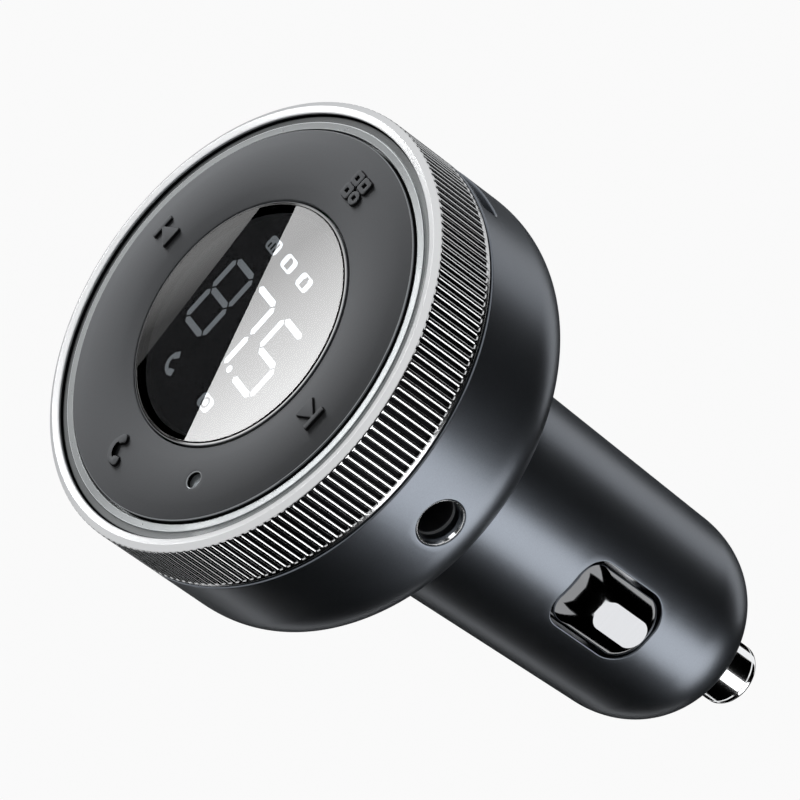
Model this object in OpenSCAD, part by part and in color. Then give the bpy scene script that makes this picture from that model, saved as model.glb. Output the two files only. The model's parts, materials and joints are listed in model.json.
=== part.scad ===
// Car FM transmitter with a 12 V plug.
// The frame's origin is on the plug's axis where the barrel leaves the head. +Y runs out to the
// plug's tip, the face looks along -Y, +Z is up on the display and +X is right as seen from the
// front. A depth is a distance behind the face plane, measured along +Y.

/* [Head] */
// Outer radius of the head and of the knurled ring
head_r = 20.65; // [20.4:0.05:21.5]
// Length of the head, from the face plane to the barrel
head_length = 20.7; // [20.3:0.1:24]
// Thickness of the head's side wall
head_wall = 1.6; // [1.2:0.1:1.8]
// Thickness of the head's back wall
floor_t = 1.8; // [1.5:0.1:2.2]
// Length of the rounded back of the head
back_round_l = 7.24; // [5:0.1:8]
// Sharpness of the rounding: 2 is an ellipse, more is squarer
back_power = 2.34; // [2:0.02:3]

/* [Knurled ring] */
// Length of the ring, from the face plane to its back edge
ring_length = 6.66; // [6:0.02:6.9]
// Width of the bevelled lip round the face
bevel_w = 1.18; // [0.9:0.02:1.3]
// Width of the ring's inner shoulder, behind the light ring
shoulder_w = 1.11; // [0.8:0.01:1.3]
// Number of ridges in the knurl
knurl_count = 168; // [60:4:180]
// Depth of the knurl's grooves
knurl_d = 0.3; // [0.15:0.05:0.45]
// Length of the plain trim behind the knurl
ring_trim_l = 0.32; // [0.2:0.02:0.6]

/* [Face] */
// Width of the light ring's face
light_ring_w = 1.34; // [1:0.02:1.5]
// Outer radius of the window with its bezel
window_r = 11.16; // [10.6:0.02:11.4]
// Thickness of the bezel's rim round the window
bezel_rim = 0.22; // [0.15:0.01:0.4]
// Thickness of the window
lens_t = 1.1; // [0.8:0.05:1.15]
// Thickness of the key plate
plate_t = 0.9; // [0.7:0.05:1]
// Height of the crown that runs round the key plate's face
plate_crown = 0.4; // [0:0.05:0.6]
// Height of the raised key symbols
symbol_h = 0.2; // [0.1:0.02:0.35]
// Place of the key symbols across the plate's width, as a share from its inner edge
symbol_share = 0.5; // [0.46:0.002:0.54]
// Thickness of the rubber key pad
pad_t = 1.0; // [0.8:0.1:1.4]
// Radius of the microphone hole
mic_hole_r = 0.7; // [0.4:0.05:0.85]

/* [Boards] */
// Thickness of the circuit boards
board_t = 1.0; // [0.8:0.1:1.2]
// Length of the spacers between the two round boards
spacer_l = 4.0; // [3.8:0.1:4.2]
// Distance of the board screws in from the boards' edge
post_inset = 1.6; // [1.5:0.05:1.8]

/* [Sockets] */
// Radius of the AUX jack's bore
jack_r = 1.8; // [1.7:0.05:1.85]
// Length of the AUX jack's bore inside the head
jack_l = 12.5; // [11:0.1:13]
// Width of the memory card slot
card_w = 11.4; // [11.2:0.1:11.8]
// Height of the card slot in the head's side
card_slot_h = 1.9; // [1.5:0.1:1.9]
// Width of a USB socket's opening
usb_w = 12.5; // [12.2:0.1:12.6]
// Height of a USB socket's opening
usb_h = 5.12; // [5:0.02:5.2]

/* [Plug] */
// Radius of the plug's straight land next to the head
plug_r = 10.45; // [10.2:0.05:10.6]
// Length of the straight land
land_l = 6.5; // [5:0.1:8]
// Radius of the barrel where its nose starts
barrel_end_r = 9.7; // [9.6:0.05:10]
// Length from the head to the start of the nose
barrel_l = 32.9; // [32.7:0.1:35]
// Length of the rounded nose
nose_l = 7.96; // [7:0.1:9]
// Thickness of the barrel's wall
barrel_wall = 1.35; // [1.2:0.05:1.4]
// Radius of the centre tip
tip_r = 2.87; // [2.6:0.05:3]
// Length of the tip outside the nose
tip_out = 6.69; // [5.5:0.1:7]
// Travel of the tip
tip_travel = 3.5; // [2.5:0.1:3.7]
// Height of a side contact over the barrel
contact_h = 1.3; // [1:0.05:1.5]
// Length of a side contact's window
contact_window_l = 11; // [10:0.1:11.2]
// Width of a side contact's window
contact_window_w = 7; // [6.4:0.1:7]

/* [Hidden] */
$fn = 96;

// Overrun that every cut takes past the face it opens
cut = 0.5;
// Gap between pieces that stand still beside each other
fit_gap = 0.05;
// Gap between a piece and what it is pressed towards
rest_gap = 0.3;
// Gap that a rocking key plate needs at its two edges
key_gap = 0.16;
// Running gap between the ring and what it turns round
ring_gap = 0.08;
// Radius of small rounded corners
small_r = 0.4;

// Depths along the head, front to back
plate_depth = 0.1;
plate_back = plate_depth + plate_t;
plate_steps = 12;
symbol_top = plate_depth - plate_crown - symbol_h;
pad_front = plate_back + rest_gap;
pad_back = pad_front + pad_t;
pad_post_l = 0.45;
switch_top = pad_back + pad_post_l + rest_gap;
switch_h = 1.35;
display_board_front = switch_top + switch_h;
display_board_back = display_board_front + board_t;
main_front = display_board_back + spacer_l;
main_back = main_front + board_t;
ring_seat = ring_length + rest_gap;
head_floor = head_length - floor_t;
back_start = head_length - back_round_l;

// Radii of the head, outside to inside
cup_r = head_r - head_wall;
back_flat_r = 11;
bevel_in_r = head_r - bevel_w;
ring_bore_r = bevel_in_r - shoulder_w;
frame_r = ring_bore_r - ring_gap;
frame_wall = 1.11;
frame_in_r = frame_r - frame_wall;
board_gap = 0.27;
board_r = frame_in_r - board_gap;
post_ring_r = board_r - post_inset;
light_out_r = bevel_in_r - ring_gap;
light_in_r = light_out_r - light_ring_w;
plate_r = light_in_r - key_gap;
plate_in_r = window_r + key_gap;
symbol_r = plate_in_r + (plate_r - plate_in_r) * symbol_share;

// The light ring and the ring that it holds
light_depth = 0.35;
light_t = 1.1;
light_back = light_depth + light_t;
foot_l = 0.55;
foot_back = light_back + foot_l;
foot_lip_l = 1.2;
foot_lip_w = 0.42;
shoulder_gap = 0.1;
shoulder_depth = light_back + shoulder_gap;
bevel_flat_share = 0.52;
bevel_round = 0.22;
knurl_start = 0.36;
knurl_end = ring_length - ring_trim_l;
// Eased edge of a ridge, as a share of the groove's depth
knurl_ease_share = 0.17;
// Widths of a groove at its floor, under the eased edge and past the ring, as shares of the pitch
groove_shares = [0.3, 0.54, 0.9];
magnet_w = 0.45;
magnet_start = 3;
magnet_l = 2.2;
glide_w = 1.2;
glide_t = 0.24;

// The window, the display and its lit symbols
window_proud = 0.1;
lens_r = window_r - bezel_rim;
bezel_ledge = 0.64;
module_r = lens_r - bezel_ledge - rest_gap;
mask_depth = lens_t - window_proud + rest_gap;
mask_t = 0.2;
digit_w = 3.9;
digit_h = 7;
digit_stroke = 0.6;
digit_slit = 0.12;
digit_x = [-4.97, -0.5, 4.75];
digit_z = -0.19;
dot_at = [2.12, -3.23];
dot_r = 0.32;
badge_w = 1.9;
badge_h = 1.32;
badge_round = 0.42;
badge_at = [[-4.28, 6.12], [-1.25, 6.12], [1.8, 6.12], [2.73, -6.52]];
// Pictograms, in shares of a badge's width
signal_shares = [[-0.25, -0.125, 0.125, 0.25], [0, -0.06, 0.125, 0.38], [0.25, 0, 0.125, 0.5]];
card_shares = [[-0.19, -0.25], [0.19, -0.25], [0.19, 0.12], [0.06, 0.25], [-0.19, 0.25]];
plug_shares = [[0, -0.06, 0.38, 0.38], [0, 0.19, 0.25, 0.18]];
ring_shares = [0.28, 0.16];
lit_handset_at = [-3.5, -6.55];
lit_handset_h = 2.2;
// Segments of a digit that light up, in the order top, upper right, lower right, bottom,
// lower left, upper left, middle
EIGHT = [1, 1, 1, 1, 1, 1, 1];
SEVEN = [1, 1, 1, 0, 0, 0, 0];
FIVE = [1, 0, 1, 1, 0, 1, 1];
DIGITS = [EIGHT, SEVEN, FIVE];

// The key plate's symbols
symbol_size = 2.15;
symbol_bar = 0.45;
menu_pitch = 1.3;
menu_gap = 0.08;
menu_round = 0.24;
menu_hole = 0.42;
handset_h = 2.8;
handset_turn = 211;
handset_spread = 78;
handset_shift = [0.15, 0.3];
// Handset's parts: its grip and end blocks as shares of its height, and how far a block reaches
// in from the arc as a share of the block
handset_grip_share = 0.18;
handset_lobe_share = 0.3;
handset_reach_share = 0.94;

// The microphone
mic_angle = -49.4;
mic_shift = 0.17;
mic_ring_r = symbol_r - mic_shift;
mic_cover_r = 0.95;
mic_cover_t = 0.3;
mic_r = 2;
mic_t = 1.3;
mic_port_r = 1.2;

// Key pad, switches and small lamps
pad_in_gap = 0.74;
pad_in_r = window_r + pad_in_gap;
pad_post_r = 1.6;
key_shift = 0.1;
key_ring_r = symbol_r - key_shift;
switch_w = 3.6;
pad_out_r = key_ring_r + switch_w / 2;
switch_stem_r = 0.9;
switch_stem_share = 0.28;
led_w = 1.6;
led_t = 0.8;
led_h = 0.7;
led_ring_r = board_r - led_t;
led_angles = [22, 68, 112, 158, 236, 252, 326, 345];
sensor_angle = 79;

// Board posts, spacers and screws
post_angles = [45, 135, 210, 290];
post_r = 1.9;
screw_r = 0.8;
screw_hole_r = 0.95;
screw_pilot_r = screw_r + fit_gap;
screw_head_r = 1.5;
screw_head_h = 1;
screw_grip = 5;
rib_w = 1.6;

// Main board pieces
header_size = [12, 2.5];
header_z = -10;
chip_size = [7, 1.2, 7];
chip_x = -8;
wireless_size = [11, 1, 4.5];
wireless_chip = [6, 1.2, 3];
wireless_at = [1.5, -1.5];

// Flats inside the head's side wall, where the sockets' mouths stand
pocket_r = cup_r - 2 * fit_gap;
socket_out_r = pocket_r - fit_gap;

// Memory card socket
card_angle = 95;
card_side_w = 1.1;
card_body_w = card_w + 2 * card_side_w;
card_body_l = 14.2;
card_body_h = 1.8;
card_wall = 0.35;

// AUX jack
aux_h = 4.5;
aux_w = 6;
aux_out = socket_out_r;
aux_depth = main_back + aux_h / 2;
aux_rim_w = 0.35;
aux_rim_r = jack_r + aux_rim_w;
aux_countersink = 0.5;
aux_blind = 1;
aux_contact_w = 1.2;
aux_contact_t = 0.4;
aux_contact_at_share = [0.2, 0.5, 0.8];

// USB sockets
usb_angles = [170, 250];
usb_wall = 0.3;
usb_l = 10.6;
usb_out = socket_out_r;
usb_depth = main_back + usb_h / 2 + usb_wall + fit_gap;
usb_core_t = 2.4;
usb_tongue_w = 11.1;
usb_tongue_h = 1.84;
usb_tongue_set = 0.8;
usb_tongue_shift = 0.9;
usb_pin_w = 1;
usb_pin_t = 0.15;
usb_pin_pitch = 2.4;

// Barrel
neck_step = 0.25;
neck_r = plug_r + neck_step;
flange_r = 13.2;
flange_t = 1.2;
flange_depth = head_floor - flange_t;
land_end = head_length + land_l;
nose_start = head_length + barrel_l;
nose_end = nose_start + nose_l;
nose_end_r = 3.69;
nose_power = 2.07;
nose_wall = 1.6;
barrel_in_r = plug_r - barrel_wall;
barrel_in_end_r = barrel_end_r - barrel_wall;
barrel_screw_ring_r = (flange_r + neck_r) / 2;
barrel_screw_angles = [90, 210, 330];
barrel_screw_r = 0.65;
barrel_screw_head_r = 1.15;
barrel_screw_head_h = 0.9;
barrel_screw_bite = 1.1;

// Side contacts
contact_from_head = 22.1;
contact_depth = head_length + contact_from_head;
contact_r = barrel_mid_r(contact_depth) + contact_h;
contact_gap = 0.4;
contact_window_round = 2;
contact_w = contact_window_w - 2 * contact_gap;
contact_l = contact_window_l - 2 * contact_gap;
contact_top_w = 3;
contact_top_l = 6.3;
contact_top_shift = 0.65;
contact_top_t = 0.25;
contact_cap_h = 2;
contact_body_h = 4;
contact_riser_r = contact_r - contact_cap_h;
contact_plate_out = contact_r - contact_body_h;
contact_plate_t = 0.5;
contact_plate_w = 7.8;
contact_plate_l = 12.6;

// Plug frame between the contacts, and the power board
frame_gap = 0.3;
front_disc_t = 2.5;
front_disc_end = contact_depth - contact_plate_l / 2 - frame_gap;
front_disc_start = front_disc_end - front_disc_t;
rear_disc_t = 2;
rear_disc_start = contact_depth + contact_plate_l / 2 + frame_gap;
rear_disc_end = rear_disc_start + rear_disc_t;
spine_t = 2.4;
spine_w = 11;
power_board_w = 15.6;
power_board_bite = 1;
power_board_end = front_disc_end - power_board_bite;
lead_w = 2;
lead_t = 0.4;
inductor_r = 3.3;
inductor_h = 4.2;
inductor_core_r = 2;
inductor_rim = 0.7;
can_r = 2.5;
can_l = 8;
small_can_r = 2;
small_can_l = 6;
converter_size = [1.2, 4.4, 5];

// Springs
wire_r = 0.25;
wire_sides = 6;
coil_steps = 12;
tip_coil_r = 2.3;
tip_coils = 6;
contact_coil_r = 1.7;
contact_coils = 5;
spring_end_gap = 0.1;
spring_cup_r = tip_coil_r + wire_r + fit_gap;
spring_cup_d = 1.4;
spring_cup_bottom = rear_disc_end - spring_cup_d;

// Centre tip
tip_end = nose_end + tip_out;
tip_round = 0.9;
tip_flange_w = 1.1;
tip_flange_r = tip_r + tip_flange_w;
tip_flange_t = 1.2;
nose_inner = nose_end - nose_wall;
tip_flange_end = nose_inner - rest_gap;
tip_flange_start = tip_flange_end - tip_flange_t;
tip_stub_r = 1.5;
// Fully pressed, the stub's end stops just short of the frame's rear disc
tip_stub_l = tip_flange_start - tip_travel - rest_gap - rear_disc_end;
nose_hole_r = tip_r + ring_gap;

// Radius of the barrel's outside at a depth between the land and the nose
function barrel_mid_r(depth) =
    plug_r + (barrel_end_r - plug_r) * (depth - head_length - land_l) / (barrel_l - land_l);

// Points of a rounded corner that runs from [r0, d0] out along the depth to [r1, d1]; the curve
// leaves parallel to the axis and arrives square to it
function corner(r0, d0, r1, d1, power, steps) = [
    for (i = [0 : steps])
        let (angle = 90 * i / steps)
        [r1 + (r0 - r1) * pow(cos(angle), 2 / power), d0 + (d1 - d0) * pow(sin(angle), 2 / power)]
];

// Turns what is drawn up +Z so that it runs back along +Y
module along_y() {
    rotate([-90, 0, 0]) children();
}

// Carries its children to a depth behind the face plane
module at_depth(depth) {
    translate([0, depth - head_length, 0]) children();
}

// Carries what is drawn on the +X side round to an angle towards +Z
module at_angle(angle) {
    rotate([0, -angle, 0]) children();
}

// Solid of revolution from [radius, depth] points
module revolve(points) {
    at_depth(0) along_y() rotate_extrude($fn = 180) polygon(points);
}

// Round bar between two depths
module rod(r, start, end) {
    at_depth(start) along_y() cylinder(r = r, h = end - start);
}

// Tube between two depths
module tube(r_out, r_in, start, end) {
    difference() {
        rod(r_out, start, end);
        rod(r_in, start - cut, end + cut);
    }
}

// Block centred at x and z that runs between two depths
module block(x, z, size_x, size_z, start, end) {
    at_depth(start) translate([x - size_x / 2, 0, z - size_z / 2])
        cube([size_x, end - start, size_z]);
}

// Flat shape drawn as seen from the front, x right and y up, run between two depths
module plate(start, end) {
    at_depth(end) rotate([90, 0, 0]) linear_extrude(height = end - start) children();
}

// Round bar along +X between two radii at a depth
module radial_rod(r, depth, from, to) {
    at_depth(depth) translate([from, 0, 0]) rotate([0, 90, 0]) cylinder(r = r, h = to - from);
}

// Rectangle with round corners, centred
module rounded_rect(w, h, r) {
    square([w - 2 * r, h], center = true);
    square([w, h - 2 * r], center = true);
    for (x = [-1, 1])
        for (y = [-1, 1])
            translate([x * (w / 2 - r), y * (h / 2 - r)]) circle(r = r, $fn = 32);
}

// Rounded slab drawn in depth and Z, run out along +X between two radii
module side_slab(depth, l, w, r, from, to) {
    at_depth(depth) translate([from, 0, 0]) rotate([90, 0, 90])
        linear_extrude(height = to - from) rounded_rect(l, w, r);
}

// One bar of a digit, pointed at both ends
module digit_bar(l) {
    half = digit_stroke / 2;
    polygon([
        [-l / 2, 0], [-l / 2 + half, half], [l / 2 - half, half],
        [l / 2, 0], [l / 2 - half, -half], [-l / 2 + half, -half]]);
}

// Lit bars of one digit
module digit(lit) {
    wide = digit_w - digit_stroke;
    tall = (digit_h - digit_stroke) / 2;
    bar_w = wide - 2 * digit_slit;
    bar_h = tall - 2 * digit_slit;
    places = [
        [0, tall, 0], [wide / 2, tall / 2, 90], [wide / 2, -tall / 2, 90], [0, -tall, 0],
        [-wide / 2, -tall / 2, 90], [-wide / 2, tall / 2, 90], [0, 0, 0]];
    for (i = [0 : len(lit) - 1])
        if (lit[i] == 1)
            translate([places[i][0], places[i][1]]) rotate(places[i][2])
                digit_bar(places[i][2] == 0 ? bar_w : bar_h);
}

// The lit number with its point
module lit_number() {
    for (i = [0 : len(DIGITS) - 1])
        translate([digit_x[i], digit_z]) digit(DIGITS[i]);
    translate(dot_at) circle(r = dot_r, $fn = 32);
}

// Telephone handset: an arc with a block at each end
module handset(h) {
    arc_r = h / 2;
    lobe = h * handset_lobe_share;
    lobe_l = lobe * handset_reach_share;
    difference() {
        circle(r = arc_r, $fn = 48);
        circle(r = arc_r - h * handset_grip_share, $fn = 48);
        rotate(handset_turn) translate([-2 * h + arc_r * cos(handset_spread), -h]) square(2 * h);
    }
    for (side = [-1, 1])
        rotate(handset_turn + handset_spread * side) translate([arc_r - lobe_l / 2, 0])
            square([lobe_l, lobe], center = true);
}

// Rectangles given as [x, y, width, height] shares of a badge's width
module badge_bars(shares) {
    for (s = shares)
        translate([s[0] * badge_w, s[1] * badge_w])
            square([s[2] * badge_w, s[3] * badge_w], center = true);
}

// Pictograms of the badges: signal bars, card, plug and ring
module badge_picture(kind) {
    if (kind == 0)
        badge_bars(signal_shares);
    if (kind == 1)
        polygon([for (s = card_shares) [s[0] * badge_w, s[1] * badge_w]]);
    if (kind == 2)
        badge_bars(plug_shares);
    if (kind == 3)
        difference() {
            circle(r = ring_shares[0] * badge_w, $fn = 32);
            circle(r = ring_shares[1] * badge_w, $fn = 32);
        }
}

// The lit badges and the small handset
module lit_badges() {
    for (i = [0 : len(badge_at) - 1])
        translate(badge_at[i]) difference() {
            rounded_rect(badge_w, badge_h, badge_round);
            badge_picture(i);
        }
    translate(lit_handset_at) handset(lit_handset_h);
}

// Skip symbol: a triangle that points at a bar, drawn for the key on the right
module skip_symbol() {
    half = symbol_size / 2;
    polygon([[-half, -half], [half - symbol_bar / 2, 0], [-half, half]]);
    translate([half - symbol_bar / 2, 0]) square([symbol_bar, symbol_size], center = true);
}

// Menu symbol: three squares and a disc, each with a square hole
module menu_symbol() {
    tile = menu_pitch - menu_gap;
    for (x = [-1, 1])
        for (y = [-1, 1])
            translate([x * menu_pitch / 2, y * menu_pitch / 2]) difference() {
                if (x > 0 && y < 0)
                    circle(r = tile / 2, $fn = 32);
                else
                    rounded_rect(tile, tile, menu_round);
                square(menu_hole, center = true);
            }
}

// Helical spring that winds up +Z from 0: one tube with flat closed ends
module coil(coil_r, turns, length, steps, sides) {
    rise = length - 2 * wire_r;
    count = turns * steps;
    points = [
        for (i = [0 : count])
            for (j = [0 : sides - 1])
                let (
                    turn = 360 * i / steps,
                    around = 360 * j / sides,
                    reach = coil_r + wire_r * cos(around),
                    lift = wire_r + rise * i / count + wire_r * sin(around))
                [reach * cos(turn), reach * sin(turn), lift]
    ];
    walls = [
        for (i = [0 : count - 1])
            for (j = [0 : sides - 1])
                let (k = (j + 1) % sides)
                each [
                    [i * sides + j, (i + 1) * sides + j, (i + 1) * sides + k],
                    [i * sides + j, (i + 1) * sides + k, i * sides + k]]
    ];
    first = [for (j = [1 : sides - 2]) [0, j, j + 1]];
    last = [for (j = [1 : sides - 2]) [count * sides, count * sides + j + 1, count * sides + j]];
    polyhedron(points = points, faces = concat(walls, first, last));
}

// Cut that flattens the cup's inside for a socket of a width, open to the front
module socket_pocket(angle, w, end) {
    at_angle(angle)
        block(
            (flange_r + pocket_r) / 2, 0, pocket_r - flange_r, w + 2 * fit_gap,
            ring_seat - cut, end + fit_gap);
}

// Opening in the head's side, run out past it
module side_opening(angle, depth, h, w) {
    at_angle(angle) side_slab(depth, h, w, small_r, pocket_r - cut, head_r + cut);
}

// One board post with the ribs that join it to the cup's wall
module board_post() {
    wall_l = head_r - frame_r;
    reach = head_r - post_ring_r;
    difference() {
        union() {
            translate([post_ring_r, 0, 0]) rod(post_r, main_back, head_length);
            block(head_r - wall_l / 2, 0, wall_l, rib_w, ring_seat + rest_gap, head_length);
            block(head_r - reach / 2, 0, reach, rib_w, main_back, head_length);
        }
        translate([post_ring_r, 0, 0])
            rod(screw_pilot_r, main_back - cut, main_back + screw_grip + rest_gap);
    }
}

// Deep cup with a rounded back, board posts and cut-outs for the sockets
module head_shell() {
    outer = corner(head_r, back_start, back_flat_r, head_length, back_power, 14);
    inner = corner(cup_r, back_start, flange_r + small_r, head_floor, back_power, 10);
    post_limit = corner(
        cup_r + small_r, back_start, flange_r + 2 * small_r, head_floor + small_r, back_power, 10);
    color("slategray") {
        difference() {
            revolve(concat(
                [[cup_r, ring_seat], [head_r, ring_seat]], outer,
                [[neck_r + fit_gap, head_length], [neck_r + fit_gap, head_floor]],
                [for (i = [len(inner) - 1 : -1 : 0]) inner[i]]));
            radial_rod(aux_rim_r + fit_gap, aux_depth, aux_out - cut, head_r + cut);
            socket_pocket(0, aux_w, main_back + aux_h);
            socket_pocket(card_angle, card_body_w, main_front);
            side_opening(card_angle, main_front - card_body_h / 2, card_slot_h, card_w);
            for (angle = usb_angles) {
                socket_pocket(angle, usb_w + 2 * usb_wall, usb_depth + usb_h / 2 + usb_wall);
                side_opening(angle, usb_depth, usb_h + usb_wall, usb_w + usb_wall);
            }
            for (angle = barrel_screw_angles)
                at_angle(angle) translate([barrel_screw_ring_r, 0, 0])
                    rod(
                        barrel_screw_r + fit_gap, head_floor - cut,
                        head_floor + barrel_screw_bite + rest_gap);
        }
        intersection() {
            for (angle = post_angles)
                at_angle(angle) board_post();
            revolve(concat(
                [[0, ring_seat], [cup_r + small_r, ring_seat]], post_limit,
                [[0, head_floor + small_r]]));
        }
    }
}

// Spigot that the ring turns on, with a ledge for the display board and a flange in the cup
module front_frame() {
    ledge_w = 1;
    flange_out = cup_r - fit_gap;
    color("dimgray")
        difference() {
            revolve([
                [frame_in_r, foot_back], [frame_r, foot_back], [frame_r, ring_seat],
                [flange_out, ring_seat], [flange_out, ring_seat + rest_gap],
                [frame_in_r - ledge_w, ring_seat + rest_gap], [frame_in_r - ledge_w, display_board_back],
                [frame_in_r, display_board_back]]);
            for (angle = post_angles)
                at_angle(angle) translate([post_ring_r, 0, 0])
                    rod(post_r + rest_gap, display_board_back - cut, ring_seat + rest_gap + cut);
        }
}

// Chrome ring with a bevelled lip, an inner shoulder and a knurled band
module volume_ring() {
    flat_r = bevel_in_r + bevel_w * bevel_flat_share;
    groove_in_r = ring_bore_r + magnet_w;
    magnet_end = magnet_start + magnet_l;
    color("silver")
        difference() {
            revolve([
                [bevel_in_r, bevel_round], [bevel_in_r + bevel_round / 2, bevel_round / 4],
                [flat_r, 0], [head_r - bevel_round / 2, knurl_start - bevel_round / 2],
                [head_r, knurl_start], [head_r, ring_length], [ring_bore_r, ring_length],
                [ring_bore_r, magnet_end], [groove_in_r, magnet_end],
                [groove_in_r, magnet_start], [ring_bore_r, magnet_start],
                [ring_bore_r, shoulder_depth], [bevel_in_r, shoulder_depth]]);
            plate(knurl_start - bevel_round / 4, knurl_end)
                for (i = [0 : knurl_count - 1])
                    rotate((i + 0.5) * 360 / knurl_count) knurl_groove();
        }
}

// Outline of one groove of the knurl, drawn on the +X side: its floor, the ridges' sides and
// their eased edges, run out past the ring
module knurl_groove() {
    tooth = 360 / knurl_count;
    ease = knurl_d * knurl_ease_share;
    radii = [head_r - knurl_d, head_r - ease, head_r + ease];
    polygon([
        for (side = [-1, 1])
            for (k = side < 0 ? [0, 1, 2] : [2, 1, 0])
                let (angle = side * groove_shares[k] * tooth / 2)
                [radii[k] * cos(angle), radii[k] * sin(angle)]]);
}

// Magnetic band in the ring's bore, read by the sensor on the display board
module ring_magnet() {
    color("black")
        tube(
            ring_bore_r + magnet_w - fit_gap, ring_bore_r,
            magnet_start + fit_gap, magnet_start + magnet_l - fit_gap);
}

// Smooth washer on which the ring's back edge glides
module glide_washer() {
    out_r = head_r - 2 * glide_t;
    color("ivory") tube(out_r, out_r - glide_w, ring_seat - glide_t, ring_seat);
}

// Translucent ring that holds the knurled ring on its spigot, with a foot inside the spigot
module light_ring() {
    lip_r = frame_in_r - fit_gap;
    color("lightsteelblue")
        revolve([
            [light_in_r, light_depth], [light_out_r, light_depth], [light_out_r, light_back],
            [frame_r, light_back], [frame_r, foot_back], [lip_r, foot_back],
            [lip_r, foot_back + foot_lip_l], [lip_r - foot_lip_w, foot_back + foot_lip_l],
            [lip_r - foot_lip_w, light_back], [light_in_r, light_back]]);
}

// Annular plate that rocks on four keys, with raised symbols and a microphone hole
module key_plate() {
    wide = plate_r - plate_in_r;
    crown = [
        for (i = [0 : plate_steps])
            let (share = i / plate_steps)
                [plate_in_r + wide * share, plate_depth - plate_crown * 4 * share * (1 - share)]];
    color("dimgray") {
        difference() {
            revolve(concat(crown, [[plate_r, plate_back], [plate_in_r, plate_back]]));
            at_angle(mic_angle) translate([mic_ring_r, 0, 0]) {
                rod(mic_hole_r, plate_depth - plate_crown - cut, plate_back + cut);
                rod(mic_cover_r + fit_gap, plate_depth - fit_gap, plate_back + cut);
            }
        }
        plate(symbol_top, symbol_top + 2 * symbol_h) {
            translate([symbol_r, 0]) skip_symbol();
            translate([-symbol_r, 0]) mirror([1, 0]) skip_symbol();
            translate([0, symbol_r]) menu_symbol();
            translate([handset_shift[0], handset_shift[1] - symbol_r]) handset(handset_h);
        }
    }
}

// Pale disc behind the microphone hole
module mic_cover() {
    color("lightgray") at_angle(mic_angle) translate([mic_ring_r, 0, 0])
        rod(mic_cover_r, plate_depth, plate_depth + mic_cover_t);
}

// Rubber pad that springs the plate back, with a post over each switch
module key_pad() {
    color("darkslategray") {
        difference() {
            tube(pad_out_r, pad_in_r, pad_front, pad_back);
            at_angle(mic_angle) translate([mic_ring_r, 0, 0])
                rod(mic_port_r, pad_front - cut, pad_back + cut);
        }
        for (i = [0 : 3])
            at_angle(90 * i) translate([key_ring_r, 0, 0])
                rod(pad_post_r, pad_back - fit_gap, pad_back + pad_post_l);
    }
}

// Four key switches on the display board
module key_switches() {
    body_start = switch_top + switch_h * switch_stem_share;
    color("gainsboro")
        for (i = [0 : 3])
            at_angle(90 * i) {
                block(key_ring_r, 0, switch_w, switch_w, body_start, display_board_front);
                translate([key_ring_r, 0, 0]) rod(switch_stem_r, switch_top, body_start + fit_gap);
            }
}

// Microphone capsule behind the hole
module mic_capsule() {
    color("silver") at_angle(mic_angle) translate([mic_ring_r, 0, 0])
        rod(mic_r, display_board_front - mic_t, display_board_front);
}

// Small lamps that light the ring from inside its foot
module ring_leds() {
    color("lightyellow")
        for (angle = led_angles)
            at_angle(angle)
                block(led_ring_r, 0, led_t, led_w, display_board_front - led_h, display_board_front);
}

// Tube round the display: its rim frames the window and its foot stands on the board
module window_bezel() {
    ledge_depth = lens_t - window_proud;
    color("silver")
        revolve([
            [lens_r, 0], [window_r, 0], [window_r, display_board_front],
            [lens_r - bezel_ledge, display_board_front], [lens_r - bezel_ledge, ledge_depth],
            [lens_r, ledge_depth]]);
}

// Dark glossy window
module display_window() {
    color("black") rod(lens_r - fit_gap, -window_proud, lens_t - window_proud);
}

// Round light block of the display
module display_module() {
    color("whitesmoke") rod(module_r, mask_depth + mask_t, display_board_front);
}

// Black mask with an opening for each lit symbol
module display_mask() {
    color("black") plate(mask_depth, mask_depth + mask_t) difference() {
        circle(r = module_r, $fn = 180);
        lit_number();
        lit_badges();
    }
}

// Lit bars of the frequency
module digit_segments() {
    color("white") plate(mask_depth, mask_depth + mask_t) lit_number();
}

// Lit badges
module badge_lights() {
    color("white") plate(mask_depth, mask_depth + mask_t) lit_badges();
}

// Round board behind the face, carrying the display, the switches and the microphone
module display_board() {
    color("darkgreen")
        difference() {
            rod(board_r, display_board_front, display_board_back);
            for (angle = post_angles)
                at_angle(angle) translate([post_ring_r, 0, 0])
                    rod(screw_hole_r, display_board_front - cut, display_board_back + cut);
        }
}

// Sensor that reads the ring's magnetic band through the spigot
module ring_sensor() {
    color("black") at_angle(sensor_angle)
        block(led_ring_r, 0, led_t, led_w, display_board_front - led_t, display_board_front);
}

// Pin header between the two round boards
module board_header() {
    color("black") block(0, header_z, header_size[0], header_size[1], display_board_back, main_front);
}

// Spacers between the two round boards
module board_spacers() {
    color("gold")
        for (angle = post_angles)
            at_angle(angle) translate([post_ring_r, 0, 0])
                tube(post_r, screw_hole_r, display_board_back, main_front);
}

// Long screws through both boards into the head's posts
module board_screws() {
    color("silver")
        for (angle = post_angles)
            at_angle(angle) translate([post_ring_r, 0, 0]) {
                rod(screw_head_r, display_board_front - screw_head_h, display_board_front);
                rod(screw_r, display_board_front - fit_gap, main_back + screw_grip);
            }
}

// Round main board that carries the sockets
module main_board() {
    color("darkgreen")
        difference() {
            rod(board_r, main_front, main_back);
            for (angle = post_angles)
                at_angle(angle) translate([post_ring_r, 0, 0])
                    rod(screw_hole_r, main_front - cut, main_back + cut);
        }
}

// FM transmitter chip
module radio_chip() {
    color("black") block(chip_x, 0, chip_size[0], chip_size[2], main_front - chip_size[1], main_front);
}

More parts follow.
